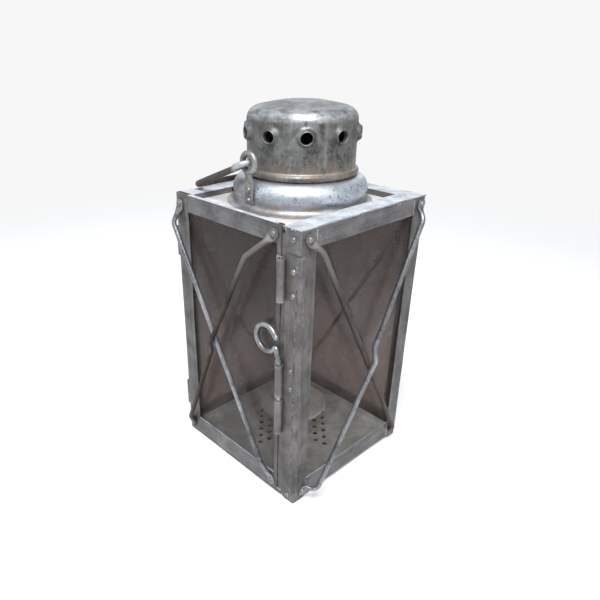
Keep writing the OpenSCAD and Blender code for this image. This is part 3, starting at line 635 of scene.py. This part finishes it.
bm = bmesh.new()
outlines = []
for i in range(SEAM_ROWS + 1):
    z = SEAM_LOW + (SEAM_HIGH - SEAM_LOW) * i / SEAM_ROWS
    left = 65.9 + 0.55 * ripple(z, 0.14, 2.2) + 0.3 * ripple(z, 0.6, 5.2)
    back = -66.6 + 0.5 * ripple(z, 0.11, 9.2) + 0.25 * ripple(z, 0.5, 1.7)
    proud = 0.3 + 0.12 * noise.noise(Vector((z * 0.25, 0, 4.0)))
    outline = [(left, -SUNK), (left + 0.12, -HALF - proud * 0.8), (left + 0.5, -HALF - proud),
               (BEND, -HALF - proud)]
    outline += arc(BEND, -BEND, BEND_R + proud, -75, -15, 4)
    outline += [(HALF + proud, -BEND), (HALF + proud, back - 0.5), (HALF + proud * 0.8, back - 0.1),
                (SUNK, back), (SUNK, -68.0), (68.0, -SUNK)]
    outlines.append([(x, y, z) for x, y in outline])
stack(bm, outlines)
finish_mesh(bm, "corner_seam", M_SEAM, "frame")

# Solder lumps along the top edges and at the joints of the rails: (from, to, radius)
SOLDER = (
    ((69.7, -69, H - 0.35), (69.7, -12, H - 0.3), 0.75),
    ((69.75, -2, H - 0.35), (69.7, 34, H - 0.3), 0.5),
    ((69.7, 44, H - 0.35), (69.6, 68, H - 0.3), 0.6),
    ((57, -70.5, H - 0.4), (69.5, -70.5, H - 0.4), 0.7),
    ((55.6, -55.2, H - 0.1), (69.0, -55.4, H - 0.1), 0.35),
    ((-53, 53.1, H - 0.1), (-69, 69, H - 0.05), 0.4),
    ((53.2, 53.0, H - 0.1), (53.2, 69, H - 0.05), 0.4),
    ((52.9, -50, H - 4.3), (52.9, 50, H - 4.3), 0.5),
    ((70.0, -55.4, 218.7), (70.0, -55.4, 231.0), 0.3),
    ((70.0, 55.4, 218.7), (70.0, 55.4, 231.0), 0.3),
    ((70.05, -55.4, 3.0), (70.05, -55.4, 18.0), 0.3),
    ((70.05, 55.4, 3.0), (70.05, 55.4, 18.0), 0.3),
)


def lumpy(r, seed):
    """Size of a run of solder lumps that thins out at both ends."""
    def size(i, s, total):
        slow, fast = noise.noise(Vector((s * 0.33, seed, 0))), noise.noise(Vector((s * 1.1, seed, 3)))
        grow = r * (0.45 + 0.75 * abs(slow) + 0.5 * abs(fast))
        grow *= min(1.0, 0.15 + min(s, total - s) * 0.6)
        return grow, 0.7 * grow, ROUND
    return size


bm = bmesh.new()
for seed, (a, b, r) in enumerate(SOLDER, 1):
    a, b = Vector(a), Vector(b)
    count = max(6, int((b - a).length / 0.9))
    sweep(bm, [hand_made(a.lerp(b, i / count)) for i in range(count + 1)], lumpy(r, seed), segs=8)
finish_mesh(bm, "solder_runs", M_SOLDER, "frame")


# ---------------------------------------------------------------- chimney

# Collar: a flange, a cove and a round dome, turned from one sheet
SHEET = 0.9
DOME_R, DOME_X, DOME_Z = 10.5, 42.0, H + 6.5
COVE_R = 4.4
COLLAR_Z = H - 4.6
COVE_Z = COLLAR_Z + SHEET + COVE_R
COVE_X = DOME_X + math.sqrt((DOME_R + COVE_R) ** 2 - (DOME_Z - COVE_Z) ** 2)
MEET = math.degrees(math.atan2(DOME_Z - COVE_Z, DOME_X - COVE_X))
TOP = DOME_Z + DOME_R
NECK_TOP = H + 23.6

profile = [(COVE_X + 1.5, COLLAR_Z + 0.15), (COVE_X + 1.6, COLLAR_Z + 0.45), (COVE_X + 1.45, COLLAR_Z + 0.8),
           (COVE_X + 1.1, COLLAR_Z + SHEET)]
profile += arc(COVE_X, COVE_Z, COVE_R, 270, MEET, 14)
profile += arc(DOME_X, DOME_Z, DOME_R, MEET - 180, 90, 26)[1:]
profile += [(41.2, TOP), (40.75, TOP + 0.3), (40.7, TOP + 1.2), (40.7, NECK_TOP), (40.3, NECK_TOP + 0.3),
            (39.9, NECK_TOP), (39.8, TOP - SHEET)]
profile += arc(DOME_X, DOME_Z, DOME_R - SHEET, 90, MEET - 180, 18)
profile += arc(COVE_X, COVE_Z, COVE_R + SHEET, MEET, 270, 10)[1:]
bm = bmesh.new()
lathe(bm, profile, segs=200, warp=0.2)
finish_mesh(bm, "collar_v", M_COLLAR, "frame", ("collar",), sharp=50)

# Vent cap: bead, wall, shoulder and shallow crown
CAP_R, CAP_TOP, SHOULDER, RISE = 41.75, H + 66.0, 10.0, 4.0
BEAD_Z, BEAD_R = H + 19.8, 2.7
WALL_LOW, WALL_STEPS = BEAD_Z + 4.5, 12
SHOULDER_X, SHOULDER_Z = CAP_R - SHOULDER, CAP_TOP - SHOULDER
CROWN_R = (SHOULDER_X ** 2 + RISE ** 2) / (2 * RISE)
CROWN_Z = CAP_TOP + RISE - CROWN_R
CROWN_EDGE = 90 - math.degrees(math.asin(SHOULDER_X / CROWN_R)) + 1.2
outer = arc(CAP_R - 0.1, BEAD_Z, BEAD_R, -92, 62, 18)
outer += [(CAP_R + 0.62, BEAD_Z + 2.6), (CAP_R + 0.3, BEAD_Z + 2.95), (CAP_R + 0.05, BEAD_Z + 3.6)]
outer += [(CAP_R, WALL_LOW + (SHOULDER_Z - WALL_LOW) * i / WALL_STEPS) for i in range(WALL_STEPS)]
outer += arc(SHOULDER_X, SHOULDER_Z, SHOULDER, 0, 84, 20)
outer += arc(0, CROWN_Z, CROWN_R, CROWN_EDGE, 89.6, 14) + [(0, CROWN_Z + CROWN_R)]
inner = [(0, CROWN_Z + CROWN_R - SHEET)] + arc(0, CROWN_Z, CROWN_R - SHEET, 89.6, CROWN_EDGE, 8)
inner += arc(SHOULDER_X, SHOULDER_Z, SHOULDER - SHEET, 84, 0, 10)
inner += [(CAP_R - SHEET, BEAD_Z + 4), (CAP_R - SHEET, BEAD_Z - 2.3), (CAP_R - 0.6, BEAD_Z - 2.65)]

# Its air holes are cut first; then each gets a flared lip
VENTS, VENT_FIRST, VENT_R, VENT_Z = 10, -42, 4.35, H + 48.0
VENT_TURNS = [math.radians(VENT_FIRST + 360 / VENTS * i) for i in range(VENTS)]
bm = bmesh.new()
lathe(bm, outer + inner, segs=240)
bmesh.ops.recalc_face_normals(bm, faces=bm.faces)
wall = new_object("cap_wall", to_mesh(bm, "cap_wall"))
bm = bmesh.new()
for t in VENT_TURNS:
    place = (Matrix.Rotation(t, 4, "Z") @ Matrix.Translation((CAP_R - 6, 0, VENT_Z))
             @ Matrix.Rotation(math.radians(90), 4, "Y"))
    bmesh.ops.create_cone(bm, cap_ends=True, segments=40, radius1=VENT_R, radius2=VENT_R, depth=22,
                          matrix=place)
cut = new_object("cap_cut", to_mesh(bm, "cap_cut"))
mod = wall.modifiers.new("holes", "BOOLEAN")
mod.operation = "DIFFERENCE"
mod.solver = "EXACT"
mod.object = cut
bpy.context.view_layer.update()
cut_through = bpy.data.meshes.new_from_object(wall.evaluated_get(bpy.context.evaluated_depsgraph_get()))
for o in (wall, cut):
    bpy.data.objects.remove(o)

# The lip's profile: (distance from the hole's axis, height over the wall)
LIP = ((8.6, -0.05), (7.9, 0.1), (7.2, 0.35), (6.6, 0.75), (6.1, 1.3), (5.65, 1.95), (5.2, 2.6),
       (4.85, 3.05), (4.62, 3.28), (4.4, 3.36), (4.22, 3.24), (4.15, 2.9), (4.12, 2.2), (4.15, 0.6),
       (4.3, -0.5), (4.6, -1.0))
LIP_SEGS = 48
bm = bmesh.new()
bm.from_mesh(cut_through)
for i, middle in enumerate(VENT_TURNS):
    wobble = 0.12 * noise.noise(Vector((i * 3.1, 1.0, 0)))
    rings = []
    for r, h in LIP:
        ring = []
        for k in range(LIP_SEGS):
            a = 2 * math.pi * k / LIP_SEGS
            oval = r * (1 + 0.025 * math.sin(2 * a + i) * (1 if h > 1 else 0))
            t = middle + oval * math.cos(a) / CAP_R
            radial = CAP_R + h * (1 + wobble)
            height = VENT_Z + oval * math.sin(a)
            ring.append(bm.verts.new((radial * math.cos(t), radial * math.sin(t), height)))
        rings.append(ring)
    skin(bm, rings)
for v in bm.verts:
    v.co = hand_made(v.co, 0.22)
finish_mesh(bm, "vent_cap_v", M_CAP, "frame", ("vent_cap",), sharp=48)


# ---------------------------------------------------------------- ears, bail and latch

EAR_Y, EAR_Z, RING_R, RING_W = 53.45, H + 30.5, 6.5, 2.2
X, Y, Z = Vector((1, 0, 0)), Vector((0, 1, 0)), Vector((0, 0, 1))


def ring_path(centre, a_axis, b_axis, r, a0=0.0, a1=360.0, steps=64):
    return [centre + a_axis * x + b_axis * y for x, y in arc(0, 0, r, a0, a1, steps)]


def hammered(r, seed, amount):
    """Wire size with slow hammer marks."""
    return lambda i, s, total: (r * (1 + amount * noise.noise(Vector((s * 0.25, seed, 0)))),
                                r * (1 + amount * noise.noise(Vector((s * 0.31, seed, 5)))), 2.2)


# Ear: a ring on a riveted strap, as (depth below the ring's centre, half width, half thickness)
STRAP = ((5.6, 2.6, 1.9), (7.4, 2.9, 1.7), (9.0, 3.2, 1.35), (11.0, 3.6, 1.05), (14, 4.0, 0.92),
         (17, 4.15, 0.9), (20, 4.2, 0.9), (23, 4.25, 0.9), (26, 4.2, 0.9), (27.6, 3.9, 0.88),
         (28.8, 3.1, 0.8), (29.5, 1.9, 0.6), (29.85, 0.5, 0.3))
for name, s in (("ear_front", -1), ("ear_back", 1)):
    bm = bmesh.new()
    loop = ring_path(Vector((0, s * EAR_Y, EAR_Z)), X, Z, RING_R)[:-1]
    sweep(bm, loop, hammered(RING_W, 3.0 + s, 0.05), up=Y, segs=24, closed=True)
    path = [Vector((0, s * EAR_Y, EAR_Z - depth)) for depth, wide, thick in STRAP]
    sweep(bm, path, lambda i, d, total: (*STRAP[i][1:], 3.6), up=Y, segs=28)
    finish_mesh(bm, name + "_v", M_EAR, "frame", (name,))

RIVET_R, RIVET_H = 2.3, 1.4
RIVET = [(RIVET_R * 1.02, -0.25), (RIVET_R, 0.05), (RIVET_R * 0.97, 0.3), (RIVET_R * 0.88, 0.62),
         (RIVET_R * 0.72, 0.7176 * RIVET_H + 0.12), (RIVET_R * 0.5, RIVET_H * 0.91),
         (RIVET_R * 0.25, RIVET_H * 0.985), (0.0, RIVET_H)]


def rivet_head(bm, point, out, seed):
    """Hammered dome head at point, standing along out."""
    place = Matrix.Translation(point) @ out.to_track_quat("Z", "Y").to_matrix().to_4x4()
    squash = Matrix.Diagonal((1 + 0.06 * math.sin(seed * 5), 1 - 0.05 * math.sin(seed * 3), 1, 1))
    lathe(bm, RIVET, segs=28, closed=False, turn=place @ squash)


bm = bmesh.new()
for s in (-1, 1):
    for z in (H + 3.5, H + 11.0):
        rivet_head(bm, Vector((0, s * (EAR_Y + 0.9), z)), Y * s, z + s)
finish_mesh(bm, "ear_rivets_v", M_RIVET, "frame", ("ear_rivets",))

# Bail: one bent wire that ends in a closed loop at each side, drawn level and then tilted to its rest
BAIL_LEN, BAIL_R, BAIL_BEND = 74.4, 2.4, 12
ARM_END = -2 * RING_R - 0.2
BAIL_GAP = 0.25          # between the bail and the roof at rest
tilt = math.asin((EAR_Z - (H + BAIL_R + BAIL_GAP)) / BAIL_LEN)
bm = bmesh.new()
arm = rounded([(ARM_END, -EAR_Y, 0), (-BAIL_LEN, -EAR_Y, 0), (-BAIL_LEN, EAR_Y, 0), (ARM_END, EAR_Y, 0)],
              [0, BAIL_BEND, BAIL_BEND, 0], step=1.1)
bent = []
for p in arm:
    fade = min(1.0, max(0.0, (abs(p.x) - 16) / 14))
    across, along = noise.noise(p * 0.05), noise.noise(p * 0.045 + Vector((3, 3, 3)))
    bent.append(p + fade * Vector((0.35 * across, 0.45 * along, 0)))
sweep(bm, bent, hammered(BAIL_R, 1.5, 0.045), up=Z, segs=22)
for s in (-1, 1):
    loop = ring_path(Vector((-RING_R, s * EAR_Y, 0)), -X, Y * s, RING_R)[:-1]
    sweep(bm, loop, hammered(RING_W, 8.0 + s, 0.04), up=Z, segs=22, closed=True)
lean = Matrix.Translation((0, 0, EAR_Z)) @ Matrix.Rotation(-tilt, 4, "Y")
bmesh.ops.transform(bm, matrix=lean, verts=bm.verts)
finish_mesh(bm, "bail_v", M_BAIL, "bail", ("bail",), sharp=60)

# Latch pin: shank, shoulder bend, and an open finger eye whose end turns outward
LX, LY, PIN_R = 54.2, -73.1, 2.0
EYE, FINGER_R = Vector((40.2, LY, 145.08)), 10.6
KEEPER, GUIDE_LOW, GUIDE_TOP = (0.286 * H, 0.417 * H), (0.432 * H, 0.55 * H), (0.77 * H, 0.907 * H)
FLARE = ((0.5, -0.75), (1.05, -1.45), (1.7, -2.05), (2.45, -2.5), (3.2, -2.8), (3.9, -3.0))
eye_arc = ring_path(EYE, X, Z, FINGER_R, -20, -325, 60)
path = rounded([(LX, LY, KEEPER[0] + 5), (LX, LY, GUIDE_LOW[1] + 2.5), eye_arc[0]], [0, 7, 0], step=0.8)
path = path[:-1] + eye_arc + [eye_arc[-1] + X * x + Z * z for x, z in FLARE]
for _ in range(2):
    middle = [(a + b * 2 + c) / 4 for a, b, c in zip(path, path[1:], path[2:])]
    path = [path[0]] + middle + [path[-1]]


def pin_size(i, s, total):
    r = round_end(s, total, PIN_R)
    return (r * (1 + 0.03 * noise.noise(Vector((s * 0.2, 1, 1)))),
            r * (1 + 0.03 * noise.noise(Vector((s * 0.24, 4, 1)))), ROUND)


bm = bmesh.new()
sweep(bm, path, pin_size, up=Y, segs=22)
finish_mesh(bm, "latch_pin_v", M_BRIGHT, "latch_pin", ("latch_pin",), sharp=60)

# Rolled sheet tubes round the pin, open at the seam. The guides have a flap behind them, and the keeper has a
# foot on a short neck
TUBE_OUT, TUBE_IN, SEAM_ANGLE = 3.1, 2.3, -216
FLAP = ([(47.4, -70.02), (LX, -70.0)] + arc(LX, LY, TUBE_OUT, 88, SEAM_ANGLE, 34)
        + arc(LX, LY, TUBE_IN, SEAM_ANGLE, 90, 34) + [(47.4, -70.8)])
FOOT = ([(51.4, -69.1), (55.6, -69.1), (55.6, -69.85), (54.6, -69.85)]
        + arc(LX, LY, TUBE_OUT, 82, SEAM_ANGLE, 34) + arc(LX, LY, TUBE_IN, SEAM_ANGLE, 98, 34)
        + [(53.8, -70.2), (53.8, -69.85), (51.4, -69.85)])
for name, body, span, outline in (("guide_tube_upper", "door", GUIDE_TOP, FLAP),
                                  ("guide_tube_middle", "door", GUIDE_LOW, FLAP),
                                  ("keeper_tube", "frame", KEEPER, FOOT)):
    bm = bmesh.new()
    prism(bm, outline, *span)
    soften(bm, 0.12, angle=50)
    finish_mesh(bm, name + "_v", M_TUBE, body, (name,))


# ---------------------------------------------------------------- guard wires

# Paths as (across / HALF, up / H, mm outward)
OFF, OVER = 6.5, 10.8    # a wire's distance from the face, and where it steps over the other
UNDER_PATH = [(-0.9, 0.97, 0), (-0.8, 0.93, OFF), (0.8, 0.072, OFF), (0.885, 0.045, 0)]
OVER_PATH = [(0.92, 0.974, 0), (0.857, 0.925, OFF), (0.186, 0.512, OFF), (0.143, 0.466, OVER),
             (-0.76, 0.055, OVER), (-0.857, 0.037, 0)]
LEFT_PATH = [(0.85, 0.974, 0), (0.8, 0.925, OFF)] + OVER_PATH[2:]
DOOR_UNDER = [(-0.926, 0.963, 0), (-0.957, 0.9, OFF), (0.543, 0.12, OFF), (0.636, 0.041, 0)]
DOOR_OVER = [(0.636, 0.968, 0), (0.55, 0.935, OFF), (0.371, 0.886, OVER), (-0.271, 0.508, OVER),
             (-0.329, 0.468, OFF), (-0.87, 0.085, OFF), (-0.926, 0.039, 0)]
WIRE_R = 2.0
PADDLE_R, PADDLE_T = 4.2, 0.68     # the flattened end's half width and half thickness
NECK_END = 8.6                     # where the paddle's outline ends, from the tip


def smoothstep(t):
    t = min(1.0, max(0.0, t))
    return t * t * (3 - 2 * t)


def wire_size(seed):
    """Flat paddle at each end that runs into round wire."""
    def size(i, s, total):
        d = min(s, total - s)
        if d < PADDLE_R:
            flat = math.sqrt(max(0.03, PADDLE_R ** 2 - (PADDLE_R - d) ** 2))
        elif d < NECK_END:
            flat = PADDLE_R - 0.25 * (d - PADDLE_R) / (NECK_END - PADDLE_R)
        else:
            flat = PADDLE_R - 0.25
        wire = smoothstep((d - 7.4) / 6.5)
        r = WIRE_R * (1 + 0.035 * noise.noise(Vector((s * 0.18, seed, 2))))
        return flat * (1 - wire) + r * wire, PADDLE_T * (1 - wire) + r * wire, 3.4 * (1 - wire) + ROUND * wire
    return size


def guard(name, k, path, mat, body, seed):
    """Round wire over side k with a flattened, rounded paddle under the rivet at each end."""
    points = [Vector((u * HALF, v * H, w)) for u, v, w in path]
    ends = []
    for eye, after in ((points[0], points[1]), (points[-1], points[-2])):
        d = (after - eye).to_2d().normalized().to_3d()
        ends.append((eye - d * PADDLE_R + Z * 0.72, eye + d * 3.4 + Z * 0.78))
    points = [*ends[0], *points[1:-1], *reversed(ends[1])]
    bends = [0, 4.5, 7.5] + [3.4] * (len(points) - 6) + [7.5, 4.5, 0]
    line = rounded([on_face(k, *p) for p in points], bends, step=0.6)
    out = FACE_OUT[k]
    total = sum((b - a).length for a, b in zip(line, line[1:]))
    moved, s = [], 0.0
    for i, p in enumerate(line):
        if i:
            s += (p - line[i - 1]).length
        fade = min(1.0, max(0.0, (min(s, total - s) - 26) / 30))
        east, north = noise.noise(p * 0.04 + X * seed), noise.noise(p * 0.04 + Y * seed)
        drift = Vector((east, north, 0)) * 0.55 * fade
        moved.append(p + drift - out * max(0.0, drift.dot(out)))    # never outward, past the CAD's box
    bm = bmesh.new()
    sweep(bm, moved, wire_size(seed), up=out, segs=24)
    finish_mesh(bm, name + "_v", mat, body, (name,), sharp=42)


DARK, BRIGHT = (M_DARK, "dark_wire"), (M_BRIGHT, "bright_wire")
FRAME_GUARDS = (
    ("guard_right_under", RIGHT, UNDER_PATH, DARK), ("guard_right_over", RIGHT, OVER_PATH, BRIGHT),
    ("guard_back_under", BACK, UNDER_PATH, DARK), ("guard_back_over", BACK, OVER_PATH, BRIGHT),
    ("guard_left_under", LEFT, UNDER_PATH, DARK), ("guard_left_over", LEFT, LEFT_PATH, BRIGHT),
)
DOOR_GUARDS = (
    ("door_guard_under", FRONT, DOOR_UNDER, BRIGHT), ("door_guard_over", FRONT, DOOR_OVER, DARK),
)
seed = 0
for body, guards in (("frame", FRAME_GUARDS), ("door", DOOR_GUARDS)):
    for name, k, path, (mat, slot) in guards:
        seed += 1
        guard(name, k, path, mat, body, seed)

for name, body, guards in (("guard_rivets", "frame", FRAME_GUARDS),
                           ("door_guard_rivets", "door", DOOR_GUARDS)):
    bm = bmesh.new()
    for _, k, path, _ in guards:
        for u, v, _ in (path[0], path[-1]):
            u, v = u * HALF, v * H
            rivet_head(bm, on_face(k, u, v, 2 * PADDLE_T), FACE_OUT[k], u + v + k)
    finish_mesh(bm, name + "_v", M_RIVET, body, (name,))

# The latch post's rivets; the uppermost goes through the top rail's fold too
bm = bmesh.new()
for v, lift in ((0.469 * H, 0), (0.536 * H, 0), (0.794 * H, 0), (0.87 * H, 0), (H - 7.5, 0.9), (5.2, 0)):
    rivet_head(bm, on_face(FRONT, HALF - 7, v, lift), FACE_OUT[FRONT], v)
finish_mesh(bm, "post_rivets_v", M_RIVET, "frame", ("post_rivets",))


# ---------------------------------------------------------------- candle holder

# Profiles as (radius, height); the dish and the socket close on the axis
STEM = [(7, 3.8), (16, 3.8), (16.15, 4.2), (15.8, 4.7), (12, 4.75), (9.8, 5.4), (8.5, 6.6), (8.05, 8.4),
        (8, 12), (8, 26.9), (7.1, 26.9)]
DISH = ([(0, 27.0), (25.6, 27.0), (26.8, 27.2), (27.4, 27.8), (29.3, 31.7)]
        + arc(30.0, 33.0, 1.0, -60, 200, 14)
        + [(28.9, 32.4), (26.9, 28.6), (26.2, 28.05), (25.2, 27.9), (0, 27.9)])
SOCKET = [(0, 27.95), (13.0, 27.95), (12.6, 28.2), (12.1, 28.9), (12.0, 31), (12.0, 48.9), (12.3, 49.5),
          (12.0, 49.9), (11.5, 49.8), (11.2, 49.2), (11.2, 28.8), (0, 28.75)]
for name, profile, segs, closed, warp in (("candle_stem", STEM, 96, True, 0.1),
                                          ("drip_dish", DISH, 144, False, 0.15),
                                          ("candle_socket", SOCKET, 96, False, 0.1)):
    bm = bmesh.new()
    lathe(bm, profile, segs, closed, warp)
    finish_mesh(bm, name + "_v", M_DISH, "frame", (name,))


# ---------------------------------------------------------------- stage, light and camera

STUDIO = (0.93, 0.93, 0.93, 1)


# A pale floor with painted shade under the lantern, seen through the floor plate's holes, that runs out into
# the backdrop's grey
bm = bmesh.new()
bmesh.ops.create_circle(bm, cap_ends=True, segments=96, radius=6.0)
floor = new_object("studio_floor", to_mesh(bm, "floor"))
mat, nt, bsdf = material("studio_floor")
# painted shade: the floor is near-black inside the lantern's footprint
under = radius_mask(nt, 0.06, 0.066)
nt.links.new(mix(nt, under, (0.86, 0.86, 0.86), (0.03, 0.03, 0.03)), bsdf.inputs["Base Color"])
bsdf.inputs["Roughness"].default_value = 0.9
beyond = add(nt, "ShaderNodeEmission", Strength=1.0, Color=STUDIO)
blend_shaders(nt, radius_mask(nt, 0.45, 1.1), beyond, bsdf, nt.nodes["Material Output"])
floor.data.materials.append(mat)

# The backdrop as the camera sees it, and a cooler, dimmer sky that lights the lantern
world = bpy.data.worlds.new("studio")
bpy.context.scene.world = world
world.use_nodes = True
nt = world.node_tree
nt.nodes.clear()
seen = add(nt, "ShaderNodeBackground", Color=STUDIO, Strength=1.0)
lit = add(nt, "ShaderNodeBackground", Color=(0.8, 0.84, 0.9, 1), Strength=0.48)
to_camera = add(nt, "ShaderNodeLightPath").outputs["Is Camera Ray"]
blend_shaders(nt, to_camera, lit, seen, add(nt, "ShaderNodeOutputWorld"))


def area_light(name, at, aim, size, power, colour=(1, 1, 1)):
    data = bpy.data.lights.new(name, "AREA")
    data.shape = "DISK"
    data.size = size
    data.energy = power
    data.color = colour
    obj = new_object(name, data)
    obj.location = at
    obj.rotation_euler = (Vector(aim) - Vector(at)).to_track_quat("-Z", "Y").to_euler()


area_light("overhead", (0.42, -0.46, 1.25), (0, 0, 0.2), 0.85, 26.0)
area_light("left", (-0.9, -1.0, 0.85), (0, 0, 0.2), 0.8, 4.4, (0.96, 0.98, 1.0))
area_light("right", (1.25, 0.1, 0.7), (0, 0, 0.15), 0.8, 2.2, (1.0, 0.98, 0.96))
area_light("back", (-1.0, 1.05, 0.85), (0, 0, 0.2), 1.6, 7.0, (0.86, 0.93, 1.0))

cam_data = bpy.data.cameras.new("camera")
cam_data.sensor_width = 36.0
cam_data.lens = 33.174
cam_data.shift_x = 0.0676667
cam_data.shift_y = 0.0325
cam_data.clip_start = 0.01
cam = new_object("camera", cam_data)
cam.location = (0.30185, -0.31741, 0.33981)
cam.rotation_euler = (math.radians(90 - 26.68), 0, math.radians(47.76))
bpy.context.scene.camera = cam
bpy.context.scene.view_settings.view_transform = "Standard"

bpy.context.view_layer.update()
